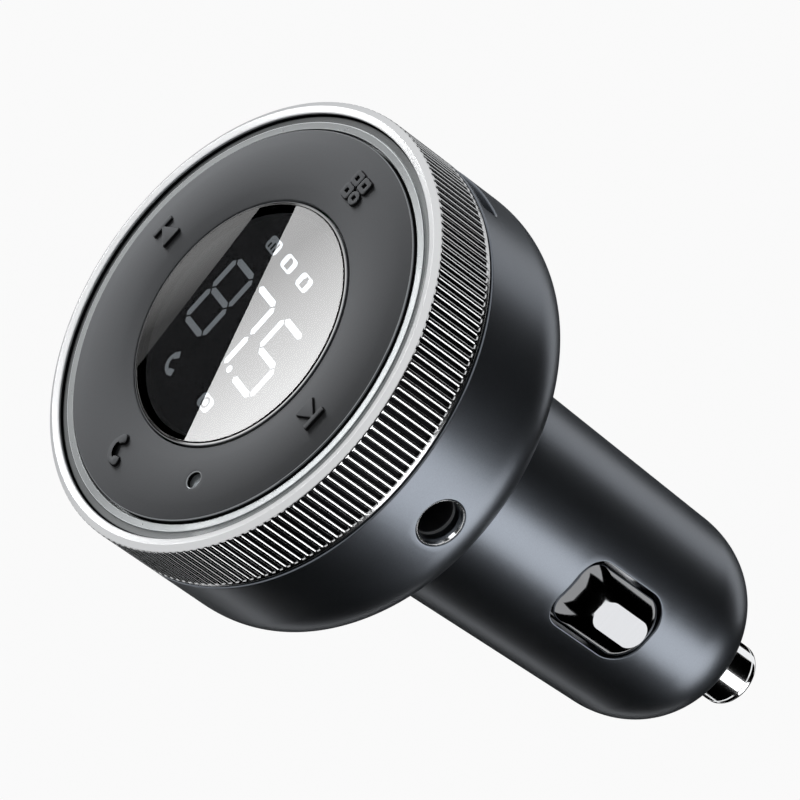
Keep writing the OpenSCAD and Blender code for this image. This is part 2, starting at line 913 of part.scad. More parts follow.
// Small wireless board with its chip
module wireless_module() {
    top = main_front - wireless_size[1];
    color("midnightblue") translate([wireless_at[0], 0, wireless_at[1]]) {
        block(0, 0, wireless_size[0], wireless_size[2], top, main_front);
        block(0, 0, wireless_chip[0], wireless_chip[2], top - wireless_chip[1], top + fit_gap);
    }
}

// Memory card socket, open at the head's side
module card_socket() {
    depth = main_front - card_body_h / 2;
    back = socket_out_r - card_body_l;
    color("gainsboro") at_angle(card_angle)
        difference() {
            side_slab(depth, card_body_h, card_body_w, fit_gap, back, socket_out_r);
            side_slab(
                depth, card_body_h - 2 * card_wall, card_w, fit_gap,
                back + 2 * card_wall, socket_out_r + cut);
        }
}

// AUX jack's body with its bore
module aux_jack() {
    start = aux_out - jack_l - aux_blind;
    color("black")
        difference() {
            block((start + aux_out) / 2, 0, aux_out - start, aux_w, main_back, main_back + aux_h);
            radial_rod(jack_r, aux_depth, aux_out - jack_l, aux_out + cut);
        }
}

// Polished rim of the AUX jack, countersunk
module aux_rim() {
    mouth = sqrt(head_r * head_r - aux_rim_r * aux_rim_r);
    color("silver") at_depth(aux_depth) rotate([0, 90, 0]) rotate_extrude()
        polygon([
            [jack_r + fit_gap, aux_out], [aux_rim_r, aux_out], [aux_rim_r, mouth],
            [aux_rim_r - fit_gap, mouth], [jack_r + fit_gap, mouth - aux_countersink]]);
}

// Solder legs of the AUX jack's contacts
module aux_contacts() {
    color("gold")
        for (share = aux_contact_at_share)
            for (side = [-1, 1])
                block(
                    aux_out - jack_l * share, side * (aux_w + aux_contact_t) / 2,
                    aux_contact_w, aux_contact_t, main_back, main_back + aux_h * (1 - share / 2));
}

// Metal shell of one USB socket, open outwards
module usb_shell(angle) {
    w = usb_w + 2 * usb_wall;
    h = usb_h + 2 * usb_wall;
    color("silver") at_angle(angle)
        difference() {
            side_slab(usb_depth, h, w, small_r, usb_out - usb_l, usb_out);
            side_slab(usb_depth, usb_h, usb_w, small_r, usb_out - usb_l - cut, usb_out + cut);
        }
}

// Insulator of one USB socket with its tongue
module usb_core(angle) {
    back = usb_out - usb_l;
    color("white") at_angle(angle) {
        side_slab(usb_depth, usb_h - 2 * fit_gap, usb_w - 2 * fit_gap, small_r, back, back + usb_core_t);
        side_slab(
            usb_depth - usb_tongue_shift, usb_tongue_h, usb_tongue_w, small_r / 2,
            back + usb_core_t - fit_gap, usb_out - usb_tongue_set);
    }
}

// The four flat contacts on each USB tongue
module usb_contacts() {
    back = usb_out - usb_l + usb_core_t;
    start = usb_depth - usb_tongue_shift + usb_tongue_h / 2;
    color("gold")
        for (angle = usb_angles)
            at_angle(angle)
                for (i = [-1.5 : 1.5])
                    block(
                        (back + usb_out - 2 * usb_tongue_set) / 2, i * usb_pin_pitch,
                        usb_out - 2 * usb_tongue_set - back, usb_pin_w, start, start + usb_pin_t);
}

// Outline of the barrel's outside
function barrel_outside() = concat(
    [[flange_r, flange_depth], [flange_r, head_floor], [neck_r, head_floor], [neck_r, head_length],
     [plug_r, head_length], [plug_r, land_end]],
    corner(barrel_end_r, nose_start, nose_end_r, nose_end, nose_power, 16));

// Outline of the barrel's inside, from the nose back to the flange
function barrel_inside() =
    let (curve = corner(barrel_in_end_r, nose_start, nose_hole_r, nose_inner, nose_power, 12))
    concat(
        [[nose_hole_r, nose_end]],
        [for (i = [len(curve) - 1 : -1 : 0]) curve[i]],
        [[barrel_in_r, land_end], [barrel_in_r, flange_depth]]);

// Plug barrel with its inner flange, two side windows and the nose
module barrel_shell() {
    color("slategray")
        difference() {
            revolve(concat(barrel_outside(), barrel_inside()));
            for (side = [0, 180])
                at_angle(side)
                    side_slab(
                        contact_depth, contact_window_l, contact_window_w, contact_window_round,
                        barrel_in_end_r / 2, plug_r + cut);
            for (angle = barrel_screw_angles)
                at_angle(angle) translate([barrel_screw_ring_r, 0, 0])
                    rod(barrel_screw_r + fit_gap, flange_depth - cut, head_floor + cut);
        }
}

// Short screws that hold the barrel's flange to the head's floor
module barrel_screws() {
    color("silver")
        for (angle = barrel_screw_angles)
            at_angle(angle) translate([barrel_screw_ring_r, 0, 0]) {
                rod(barrel_screw_head_r, flange_depth - barrel_screw_head_h, flange_depth);
                rod(barrel_screw_r, flange_depth - fit_gap, head_floor + barrel_screw_bite);
            }
}

// Power board down the middle of the barrel
module power_board() {
    color("darkgreen") block(0, 0, board_t, power_board_w, main_back, power_board_end);
}

// Drum inductor: a core with a rim at each end
module power_inductor() {
    base = board_t / 2;
    depth = head_length + can_r + can_r;
    color("dimgray") at_depth(depth) rotate([0, 90, 0]) {
        translate([0, 0, base]) cylinder(r = inductor_r, h = inductor_rim);
        translate([0, 0, base]) cylinder(r = inductor_core_r, h = inductor_h);
        translate([0, 0, base + inductor_h - inductor_rim]) cylinder(r = inductor_r, h = inductor_rim);
    }
}

// Large can on the plug side of the power board
module input_capacitor() {
    color("navy") translate([-board_t / 2 - can_r, 0, 0]) rod(can_r, head_length, head_length + can_l);
}

// Smaller can beside the main board
module output_capacitor() {
    start = head_length - small_can_l - 2 * rest_gap;
    color("navy") translate([board_t / 2 + small_can_r, 0, 0]) rod(small_can_r, start, start + small_can_l);
}

// Voltage converter chip
module converter_chip() {
    color("black")
        block(
            -(board_t + converter_size[0]) / 2, 0, converter_size[0], converter_size[2],
            front_disc_start - rest_gap - converter_size[1], front_disc_start - rest_gap);
}

// Insulating frame: two discs joined by a spine, with a slot for the power board
module plug_frame() {
    front_r = barrel_inner_r(front_disc_end) - rest_gap;
    rear_r = barrel_inner_r(rear_disc_end) - rest_gap;
    color("darkslategray")
        difference() {
            union() {
                rod(front_r, front_disc_start, front_disc_end);
                block(0, 0, spine_t, spine_w, front_disc_end - cut, rear_disc_start + cut);
                rod(rear_r, rear_disc_start, rear_disc_end);
            }
            block(
                0, 0, board_t + 2 * fit_gap, power_board_w + 2 * fit_gap,
                front_disc_start - cut, power_board_end + fit_gap);
            rod(spring_cup_r, spring_cup_bottom, rear_disc_end + cut);
            block(
                (spine_t - lead_t) / 2, 0, lead_t + 2 * fit_gap, lead_w + 2 * fit_gap,
                front_disc_start - cut, spring_cup_bottom + cut);
        }
}

// Radius of the barrel's bore at a depth
function barrel_inner_r(depth) = barrel_mid_r(depth) - barrel_wall;

// Brass strip sunk in the spine, with a seat for the tip's spring, that feeds the power board
module tip_lead() {
    start = power_board_end - lead_w;
    color("gold") {
        block((spine_t - lead_t) / 2, 0, lead_t, lead_w, start, spring_cup_bottom + fit_gap);
        rod(spring_cup_r - fit_gap, spring_cup_bottom, spring_cup_bottom + lead_t);
    }
}

// One side contact, drawn on the +X side: a retained plate and a pressed cap with a flat top
module contact() {
    cap_round = contact_window_round - contact_gap;
    color("gainsboro") {
        side_slab(
            contact_depth, contact_plate_l, contact_plate_w, small_r,
            contact_plate_out - contact_plate_t, contact_plate_out);
        side_slab(
            contact_depth, contact_l, contact_w, cap_round,
            contact_plate_out - fit_gap, contact_riser_r);
        hull() {
            side_slab(
                contact_depth, contact_l, contact_w, cap_round,
                contact_riser_r - contact_top_t, contact_riser_r);
            side_slab(
                contact_depth + contact_top_shift, contact_top_l, contact_top_w,
                contact_top_w / 2 - fit_gap, contact_r - contact_top_t, contact_r);
        }
    }
}

// Side contact seen in the photograph
module contact_right() {
    contact();
}

// Its twin on the other side
module contact_left() {
    at_angle(180) contact();
}

// Spring behind one side contact, from the spine to the contact's plate
module contact_spring(angle) {
    start = spine_t / 2 + spring_end_gap;
    end = contact_plate_out - contact_plate_t - spring_end_gap;
    color("silver") at_angle(angle) at_depth(contact_depth) translate([start, 0, 0]) rotate([0, 90, 0])
        coil(contact_coil_r, contact_coils, end - start, coil_steps, wire_sides);
}

module contact_spring_right() {
    contact_spring(0);
}

module contact_spring_left() {
    contact_spring(180);
}

// Centre tip: a rounded pin with a flange that the nose holds back and a stub for the spring
module tip_pin() {
    color("silver")
        revolve(concat(
            [[0, tip_flange_start - tip_stub_l], [tip_stub_r, tip_flange_start - tip_stub_l],
             [tip_stub_r, tip_flange_start], [tip_flange_r, tip_flange_start],
             [tip_flange_r, tip_flange_end], [tip_r, tip_flange_end]],
            corner(tip_r, tip_end - tip_round, tip_r - 2 * tip_round, tip_end, 2, 8),
            [[0, tip_end]]));
}

// Spring behind the tip
module tip_spring() {
    start = spring_cup_bottom + lead_t + spring_end_gap;
    end = tip_flange_start - spring_end_gap;
    color("silver") at_depth(start) along_y()
        coil(tip_coil_r, tip_coils, end - start, coil_steps, wire_sides);
}

head_shell();
front_frame();
volume_ring();
ring_magnet();
glide_washer();
light_ring();
key_plate();
mic_cover();
key_pad();
key_switches();
mic_capsule();
ring_leds();
window_bezel();
display_window();
display_module();
display_mask();
digit_segments();
badge_lights();
display_board();
ring_sensor();
board_header();
board_spacers();
board_screws();
main_board();
radio_chip();
wireless_module();
card_socket();
aux_jack();
aux_rim();
aux_contacts();
usb_shell(usb_angles[0]);  // usb_shell_left
usb_core(usb_angles[0]);  // usb_core_left
usb_shell(usb_angles[1]);  // usb_shell_lower
usb_core(usb_angles[1]);  // usb_core_lower
usb_contacts();
barrel_shell();
barrel_screws();
power_board();
power_inductor();
input_capacitor();
output_capacitor();
converter_chip();
plug_frame();
tip_lead();
contact_right();
contact_left();
contact_spring_right();
contact_spring_left();
tip_pin();
tip_spring();
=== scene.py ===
"""Dresses a car FM transmitter with a 12 V plug: its pieces, their finishes and a small studio.

The frame's origin is on the plug's axis where the barrel leaves the head. +Y runs out to the
plug's tip, the face looks along -Y and +Z is up on the display. Lengths are metres.
"""

import json
import math

import bmesh
import bpy
import numpy as np
from bpy.props import FloatProperty, FloatVectorProperty, IntProperty, PointerProperty
from mathutils import Matrix, Vector


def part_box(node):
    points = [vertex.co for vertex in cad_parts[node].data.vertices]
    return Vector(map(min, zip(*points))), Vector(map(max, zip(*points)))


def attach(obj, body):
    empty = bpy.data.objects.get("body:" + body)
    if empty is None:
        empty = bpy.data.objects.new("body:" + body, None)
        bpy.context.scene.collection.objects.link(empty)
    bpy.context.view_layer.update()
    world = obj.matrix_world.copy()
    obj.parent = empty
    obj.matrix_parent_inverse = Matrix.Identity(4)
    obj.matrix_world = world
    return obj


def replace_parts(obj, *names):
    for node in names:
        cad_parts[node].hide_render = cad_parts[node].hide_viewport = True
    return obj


bl_info = {
    "name": "Car FM Transmitter",
    "version": (1, 0, 0),
    "blender": (4, 5, 0),
    "location": "View3D > Sidebar > Transmitter",
    "description": "Dresses the packed car FM transmitter: its pieces, finishes and studio",
    "category": "Object",
}

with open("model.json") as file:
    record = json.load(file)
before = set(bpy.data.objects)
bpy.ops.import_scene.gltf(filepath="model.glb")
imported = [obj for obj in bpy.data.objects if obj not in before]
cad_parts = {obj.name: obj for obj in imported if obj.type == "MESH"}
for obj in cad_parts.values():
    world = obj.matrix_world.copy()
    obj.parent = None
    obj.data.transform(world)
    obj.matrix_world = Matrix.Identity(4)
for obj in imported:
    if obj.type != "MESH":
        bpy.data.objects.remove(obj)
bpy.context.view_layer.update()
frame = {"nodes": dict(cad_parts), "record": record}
NODES = frame["nodes"]
MM = 0.001


def corners(node):
    """The corners of a CAD node's mesh."""
    return np.array([v.co for v in NODES[node].data.vertices])


def reach(node):
    """Least and greatest distance of a CAD node from the plug's axis, and its front and back."""
    co = corners(node)
    r = np.hypot(co[:, 0], co[:, 2])
    return float(r.min()), float(r.max()), float(co[:, 1].min()), float(co[:, 1].max())


def radius_at(node, y):
    """Greatest distance from the plug's axis of a CAD node's corners at a place along Y."""
    co = corners(node)
    co = co[np.abs(co[:, 1] - y) < 1e-6]
    return float(np.round(np.hypot(co[:, 0], co[:, 2]).max(), 6))


def across_box(node, angle):
    """Half the node's width across a direction from the axis, and its two ends along Y."""
    co = corners(node)
    a = math.radians(angle)
    across = -co[:, 0] * math.sin(a) + co[:, 2] * math.cos(a)
    return float(np.abs(across).max()), float(co[:, 1].min()), float(co[:, 1].max())


def socket_y(node, angle):
    """The middle of a socket along Y."""
    _, low, high = across_box(node, angle)
    return (low + high) / 2


RING_BORE, HEAD_R, FACE_Y, RING_BACK = reach("volume_ring")
PLATE_IN, PLATE_OUT, SYMBOL_TOP, PLATE_BACK = reach("key_plate")
BEZEL_IN, WINDOW_R, _, BEZEL_BACK = reach("window_bezel")
_, LENS_R, LENS_FRONT, LENS_BACK = reach("display_window")
_, LIGHT_R, LIGHT_FRONT, LIGHT_FOOT = reach("light_ring")
_, FLANGE_R, FLANGE_FRONT, NOSE_END = reach("barrel_shell")
_, _, TIP_START, TIP_END = reach("tip_pin")

# Clearance round a piece that passes through a wall
CLEAR = 0.05 * MM
# Circles on which the key symbols and the microphone hole stand, and the hole's angle in degrees
SYMBOL_RING, MIC_RING, MIC_ANGLE = 14.605 * MM, 14.435 * MM, -49.4
# Rounding of the microphone hole's edge, and width of the foot round a raised symbol, which is
# painted nearly black as a shadow
MIC_EDGE, FOOT = 0.08 * MM, 0.09 * MM
# The knurled ring's inner shoulder, just behind the light ring's face
RING_SHOULDER = FACE_Y + 1.55 * MM
# The barrel's bore behind its flange, the inner face of its nose, and its neck in the head
BARREL_BORE = 9.1 * MM
NOSE_IN = NOSE_END - 1.6 * MM
NECK_R = radius_at("barrel_shell", 0.0)
AUX_HOLE = 2 * (across_box("aux_rim", 0.0)[0] + CLEAR)
# Sockets in the head's side beside the AUX jack: node, angle, width and length of the opening
SIDE_SOCKETS = (
    ("card_socket", 95.0, 11.4 * MM, 1.9 * MM),
    ("usb_shell_left", 170.0, 12.8 * MM, 5.42 * MM),
    ("usb_shell_lower", 250.0, 12.8 * MM, 5.42 * MM))


def size(name, description, default, **more):
    """A length in the scene's units."""
    return FloatProperty(
        name=name, description=description, default=default, min=0.0, unit="LENGTH", precision=5,
        **more)


def shade(name, description, default):
    """A colour that Blender draws as a swatch."""
    return FloatVectorProperty(
        name=name, description=description, default=default, size=3, min=0.0, max=1.0,
        subtype="COLOR")


def level(name, description, default, high=20.0):
    """A plain number from nothing up."""
    return FloatProperty(name=name, description=description, default=default, min=0.0, max=high)


class TransmitterSizes(bpy.types.PropertyGroup):
    """Sizes of the dressed pieces that a user would change."""

    head_radius: size("Head radius", "Outer radius of the head and the knurled ring", HEAD_R)
    head_wall: size("Head wall", "Thickness of the head's side wall", 1.6 * MM)
    floor: size("Head floor", "Thickness of the head's back wall", 1.8 * MM)
    back_length: size("Rounded back", "Length of the head's rounded back", 7.24 * MM)
    back_flat: size("Back flat", "Radius at which the rounded back ends", 11 * MM)
    soft_edge: size("Soft edge", "Rounding of the head's and barrel's edges", 0.15 * MM)
    bevel_in: size("Lip radius", "Inner radius of the ring's bevelled lip", 19.47 * MM)
    knurl_depth: size("Knurl depth", "Depth of the knurl's grooves", 0.3 * MM)
    knurl_start: size("Knurl start", "Distance of the knurl behind the face", 0.36 * MM)
    knurl_trim: size("Knurl trim", "Plain trim behind the knurl", 0.32 * MM)
    plate_front: size("Plate depth", "Distance of the key plate behind the face", 0.1 * MM)
    plate_crown: size("Plate crown", "Height of the crown round the key plate's face", 0.4 * MM)
    plate_edge: size("Plate edge", "Width of the key plate's polished edge", 0.1 * MM)
    symbol_ring: size("Symbol ring", "Radius at which the key symbols stand", SYMBOL_RING)
    symbol_edge: size("Symbol edge", "Rounding of the key symbols' edges", 0.05 * MM)
    mic_radius: size("Microphone hole", "Radius of the microphone hole", 0.7 * MM)
    plug_radius: size("Plug radius", "Radius of the plug's straight land", 10.45 * MM)
    land: size("Land", "Length of the plug's straight land", 6.5 * MM)
    barrel_end: size("Barrel end", "Radius of the barrel where its nose starts", 9.7 * MM)
    barrel_wall: size("Barrel wall", "Thickness of the barrel's wall", 1.35 * MM)
    barrel_length: size("Barrel length", "Length from the head to the nose", 32.9 * MM)
    window_length: size("Contact window", "Length of a side contact's window", 11 * MM)
    window_width: size("Contact window width", "Width of a side contact's window", 7 * MM)
    contact_place: size("Contact place", "Distance of the side contacts from the head", 22.1 * MM)
    tip_radius: size("Tip radius", "Radius of the centre tip", 2.87 * MM)
    teeth: IntProperty(name="Ridges", description="Ridges of the knurl", default=168, min=24)
    columns: IntProperty(
        name="Columns", description="Columns of a turned surface", default=256, min=48)


class TransmitterColours(bpy.types.PropertyGroup):
    """Colours of the finishes that a user would change."""

    body: shade("Body", "Satin gunmetal of the head and the barrel", (0.150, 0.165, 0.188))
    plate: shade("Key plate", "Fine grained grey of the key plate", (0.058, 0.060, 0.063))
    chrome: shade("Chrome", "Polished ring, bezel, rim and tip", (0.86, 0.87, 0.88))
    nickel: shade("Black nickel", "Side contacts", (0.268, 0.272, 0.28))
    light_ring: shade("Light ring", "Silvered ring round the plate", (0.62, 0.65, 0.66))
    glass: shade("Window", "Tint of the window", (0.165, 0.172, 0.18))
    lit: shade("Display", "Light of the digits and badges", (0.93, 0.97, 1.0))


class StudioSettings(bpy.types.PropertyGroup):
    """Lights and cards of the studio."""

    sky: level("Sky", "Light of the white surroundings on matt surfaces", 0.1)
    key: level("Key light", "Brightness of the long softbox", 1.9)
    face: level("Face light", "Brightness of the softbox that grazes the face", 10.5, 200.0)
    display: level("Display", "Brightness of the lit digits", 6.5, 60.0)
    panel: level("Window panel", "Brightness of the panel that the window mirrors", 11.0, 60.0)
    panel_dim: level("Dim panel", "Brightness of the panel's dim part", 1.9, 60.0)
    floor_z: FloatProperty(
        name="Floor", description="Height of the floor", default=-0.30, unit="LENGTH")


# Shader helpers


class Value:
    """A number that changes over a surface. Python's operators on it add Math nodes."""

    def __init__(self, finish, socket):
        self.finish, self.socket = finish, socket

    def math(self, operation, *others):
        """Adds a Math node on this number and the others."""
        node = self.finish.node(
            "ShaderNodeMath", {"operation": operation}, dict(enumerate((self, *others))))
        return Value(self.finish, node.outputs[0])

    def __add__(self, other):
        return self.math("ADD", other)

    def __sub__(self, other):
        return self.math("SUBTRACT", other)

    def __rsub__(self, other):
        return (self * -1.0).math("ADD", other)

    def __mul__(self, other):
        return self.math("MULTIPLY", other)

    def __truediv__(self, other):
        return self.math("DIVIDE", other)

    __radd__ = __add__
    __rmul__ = __mul__

    def clamp(self):
        """The number kept within 0 and 1."""
        return self.math("MAXIMUM", 0.0).math("MINIMUM", 1.0)

    def step(self, low, high):
        """0 below low, 1 above high and a smooth curve between."""
        node = self.finish.node(
            "ShaderNodeMapRange", {"interpolation_type": "SMOOTHSTEP"},
            {"Value": self, "From Min": low, "From Max": high})
        return Value(self.finish, node.outputs[0])


class Finish:
    """A material being made, with its Principled shader and its Object coordinates."""

    def __init__(self, name, **constants):
        self.material = bpy.data.materials.new(name)
        self.material.use_nodes = True
        self.tree = self.material.node_tree
        self.tree.nodes.clear()
        self.output = self.tree.nodes.new("ShaderNodeOutputMaterial")
        self.shader = self.node("ShaderNodeBsdfPrincipled")
        self.tree.links.new(self.shader.outputs[0], self.output.inputs["Surface"])
        self.place = self.node("ShaderNodeTexCoord").outputs["Object"]
        self.set(**constants)

    def node(self, kind, settings=None, inputs=None):
        """Adds a node: its settings first, then the values or links of its sockets."""
        made = self.tree.nodes.new(kind)
        for key, value in (settings or {}).items():
            setattr(made, key, value)
        for key, value in (inputs or {}).items():
            self.feed(made.inputs[key], value)
        return made

    def feed(self, socket, value):
        """Links or sets a socket. A colour gets its alpha."""
        value = value.socket if isinstance(value, Value) else value
        if isinstance(value, bpy.types.NodeSocket):
            self.tree.links.new(value, socket)
        elif hasattr(socket.default_value, "__len__") and len(value) < len(socket.default_value):
            socket.default_value = (*value, 1.0)
        else:
            socket.default_value = value

    def set(self, **inputs):
        """Sets the Principled shader's sockets: base_color is Base Color and so on."""
        names = {"ior": "IOR", "specular": "Specular IOR Level"}
        for key, value in inputs.items():
            self.feed(self.shader.inputs[names.get(key, key.replace("_", " ").title())], value)

    def noise(self, scale, detail=2.0, roughness=0.5, place=None):
        """Noise round a half, at a scale in patterns to the metre."""
        node = self.node("ShaderNodeTexNoise", None, {
            "Vector": place or self.place, "Scale": scale, "Detail": detail,
            "Roughness": roughness})
        return Value(self, node.outputs[0])

    def stretched(self, x, y, z):
        """Object coordinates stretched along the axes."""
        node = self.node("ShaderNodeMapping", None, {"Vector": self.place, "Scale": (x, y, z)})
        return node.outputs[0]

    def axes(self):
        """The three Object coordinates as numbers."""
        node = self.node("ShaderNodeSeparateXYZ", None, {0: self.place})
        return [Value(self, socket) for socket in node.outputs]

    def radius(self):
        """Distance from the plug's axis."""
        x, _, z = self.axes()
        return (x * x + z * z).math("SQRT")

    def mix(self, colour_a, colour_b, factor):
        """Goes from the first colour to the second as the factor goes from 0 to 1."""
        node = self.node(
            "ShaderNodeMix", {"data_type": "RGBA"}, {0: factor, 6: colour_a, 7: colour_b})
        return node.outputs[2]

    def bump(self, height, distance):
        """Lifts the surface by height times distance."""
        node = self.node(
            "ShaderNodeBump", None, {"Height": height, "Distance": distance, "Strength": 1.0})
        self.set(normal=node.outputs[0])


def lighter(colour, factor):
    """The colour times a factor, kept within 0 and 1."""
    return tuple(min(1.0, max(0.0, c * factor)) for c in colour)


# Finishes


def satin_metal(name, colour):
    """Sprayed metallic satin: fine flakes change its tone and shine, over a faint orange peel."""
    f = Finish(name, metallic=0.97, ior=1.5)
    flakes = f.noise(9000.0, 2.0)
    cloud = f.noise(160.0, 3.0)
    f.set(
        base_color=f.mix(lighter(colour, 0.86), lighter(colour, 1.14), flakes),
        roughness=(0.27 + flakes * 0.06 + cloud * 0.05).clamp())
    f.bump(flakes * 0.5 + f.noise(1500.0) * 0.5, 0.004 * MM)
    return f.material


def grained_plastic(name, colour):
    """Matt fine grained plastic, still bare: the finish with its tone, roughness and grain."""
    f = Finish(name, ior=1.5, specular=0.1)
    grain = f.noise(5200.0, 3.0, 0.6)
    cloud = f.noise(90.0, 2.0)
    tone = f.mix(lighter(colour, 0.88), lighter(colour, 1.12), grain * 0.6 + cloud * 0.4)
    return f, tone, 0.46 + grain * 0.1, grain


def plate_plastic(name, colour, outer, edge):
    """The key plate's plastic. Its outer turned edge and the microphone hole's are polished, and
    the walls behind those edges are painted nearly black as the shade in the hole and in the gap
    round the plate."""
    f, tone, rough, grain = grained_plastic(name, colour)
    r = f.radius()
    x, y, z = f.axes()
    near = x - MIC_RING * math.cos(math.radians(MIC_ANGLE))
    up = z - MIC_RING * math.sin(math.radians(MIC_ANGLE))
    away = (near * near + up * up).math("SQRT")
    rim = r.step(outer - 1.1 * edge, outer - 0.8 * edge).math(
        "MAXIMUM", 1.0 - away.step(0.79 * MM, 0.83 * MM))
    # Painted shade: the microphone hole's wall and the plate's outer side wall are painted nearly
    # black.
    hole = (1.0 - away.step(0.74 * MM, 0.76 * MM)) * y.step(
        FACE_Y - 0.24 * MM, FACE_Y - 0.2 * MM)
    side = y.step(FACE_Y + 0.22 * MM, FACE_Y + 0.28 * MM) * r.step(
        outer - 0.02 * MM, outer - 0.01 * MM)
    wall = hole.math("MAXIMUM", side)
    rim = rim * (1.0 - wall)
    f.set(
        base_color=f.mix(f.mix(tone, (0.22, 0.23, 0.24), rim), (0.003, 0.003, 0.003), wall),
        metallic=rim, roughness=(rough - rim * 0.4 + wall * 0.4).clamp())
    f.bump(grain * (1.0 - rim), 0.006 * MM)
    return f.material


def symbol_plastic(name, colour, wall_y):
    """The same plastic for the raised symbols, painted nearly black behind a place along Y as the
    shade on their walls and feet.
    """
    f, tone, rough, grain = grained_plastic(name, colour)
    _, y, _ = f.axes()
    # Painted shade: the walls and the foot behind the top edge are painted nearly black.
    wall = y.step(wall_y, wall_y + 0.05 * MM)
    f.set(
        base_color=f.mix(tone, (0.014, 0.014, 0.015), wall),
        roughness=(rough + wall * 0.4).clamp())
    f.bump(grain * (1.0 - wall), 0.006 * MM)
    return f.material


def turning_marks(f):
    """Fine marks of a lathe, lifted a little and close together along Y."""
    marks = f.noise(260.0, 4.0, 0.7, f.stretched(1.0, 14.0, 1.0))
    f.bump(marks, 0.0012 * MM)
    return marks


def polished_metal(name, colour, roughness=0.07):
    """Polished plating with fine turning marks."""
    f = Finish(name, metallic=1.0)
    smudge = f.noise(220.0, 3.0)
    f.set(
        base_color=f.mix(lighter(colour, 0.95), lighter(colour, 1.03), turning_marks(f)),
        roughness=(roughness + smudge * 0.06).clamp())
    return f.material


def knurled_metal(name, colour, roughness, floor_r, top_r, start_y):
    """The knurled ring's plating: satin in front of a place along Y, and behind it painted darker
    into the grooves as their shade, from the ridges' radius down to the floor's."""
    f = Finish(name, metallic=1.0, specular_tint=(0.62, 0.63, 0.64))
    turning_marks(f)
    smudge = f.noise(220.0, 3.0)
    _, y, _ = f.axes()
    lip = 1.0 - y.step(start_y - 0.06 * MM, start_y + 0.04 * MM)
    # Painted shade: below the ridges' radius the grooves' walls and floor are painted nearly black.
    proud = f.radius().step(floor_r, top_r).math("MAXIMUM", lip)
    tone = f.mix(lighter(colour, 0.72), lighter(colour, 0.78), lip)
    f.set(
        base_color=f.mix((0.008, 0.008, 0.009), tone, proud),
        roughness=(roughness + lip * 0.09 + (1.0 - proud) * 0.4 + smudge * 0.05).clamp())
    return f.material


def rim_metal(name):
    """Dark polished metal of the window's rim, as bright as the window, with a painted highlight, a
    brighter line of colour at its outer edge, and a dull wall."""
    f = Finish(name)
    # Painted highlight: a pale line of colour round the rim's outer edge.
    line = f.radius().step(WINDOW_R - 0.06 * MM, WINDOW_R - 0.045 * MM)
    dust = f.noise(900.0)
    _, y, _ = f.axes()
    wall = y.step(FACE_Y + 0.08 * MM, FACE_Y + 0.1 * MM)
    f.set(
        base_color=f.mix((0.06, 0.06, 0.06), (0.3, 0.31, 0.32), line), metallic=1.0 - wall,
        roughness=(0.03 + line * 0.2 + dust * 0.03).clamp())
    return f.material


def jack_metal(name, body, chrome):
    """Finish of the AUX jack's lining: a bright lip, a sprayed wall and a bright band within, where
    a contact ring stands and its shine is painted as a pale, mostly matt band.
    """
    f = Finish(name)
    x, _, _ = f.axes()
    lip = x.step(HEAD_R - 0.42 * MM, HEAD_R - 0.38 * MM)
    # Painted highlight: the contact ring's band takes the chrome colour with little metal, so it
    # shows pale like a reflection.
    band = (1.0 - x.step(19.3 * MM, 19.34 * MM)) * x.step(18.93 * MM, 18.96 * MM)
    bright = lip.math("MAXIMUM", band)
    dust = f.noise(1500.0)
    f.set(
        base_color=f.mix(f.mix(lighter(body, 0.9), lighter(body, 1.1), dust), chrome, bright),
        metallic=1.0 - band * 0.8, roughness=(0.34 - bright * 0.24 + dust * 0.04).clamp())
    f.bump(dust, 0.003 * MM)
    return f.material


def brushed_metal(name, colour, roughness=0.3):
    """Bright sheet metal with brushing along the plug's axis."""
    f = Finish(name, metallic=1.0)
    strokes = f.noise(900.0, 4.0, 0.65, f.stretched(6.0, 0.4, 6.0))
    f.set(
        base_color=f.mix(lighter(colour, 0.82), lighter(colour, 1.1), strokes),
        roughness=(roughness - 0.08 + strokes * 0.18).clamp())
    f.bump(strokes, 0.004 * MM)
    return f.material


def moulded(name, colour, roughness=0.5, grain=0.01, specular=0.5):
    """Moulded plastic or rubber: a fine erosion texture and slow changes of tone."""
    f = Finish(name, specular=specular)
    fine = f.noise(2600.0, 3.0, 0.6)
    slow = f.noise(240.0, 2.0)
    f.set(
        base_color=f.mix(lighter(colour, 0.84), lighter(colour, 1.14), fine * 0.5 + slow * 0.5),
        roughness=(roughness - 0.05 + fine * 0.12).clamp())
    f.bump(fine, grain * MM)
    return f.material


def circuit_board(name, colour):
    """Solder mask over tracks: the edges of square cells stand for tracks and pads."""
    f = Finish(name, roughness=0.3)
    cells = f.node(
        "ShaderNodeTexVoronoi", {"distance": "MANHATTAN"}, {"Vector": f.place, "Scale": 700.0})
    tracks = Value(f, cells.outputs["Distance"]).step(0.35, 0.45)
    grain = f.noise(1800.0)
    f.set(
        base_color=f.mix(lighter(colour, 0.6), lighter(colour, 1.7), tracks * 0.6 + grain * 0.3),
        coat_weight=0.5)
    f.bump(tracks, 0.02 * MM)
    return f.material


def window_glass(name, colour):
    """Dark tinted window, smooth to within a faint ripple, with a blackened edge."""
    f = Finish(name, transmission_weight=1.0, ior=1.6)
    ripple = f.noise(70.0, 1.0)
    edge = f.radius().step(LENS_R - 0.03 * MM, LENS_R - 0.02 * MM)
    f.set(
        base_color=f.mix(
            f.mix(lighter(colour, 0.97), lighter(colour, 1.03), ripple), (0.0, 0.0, 0.0), edge),
        roughness=ripple * 0.004)
    return f.material


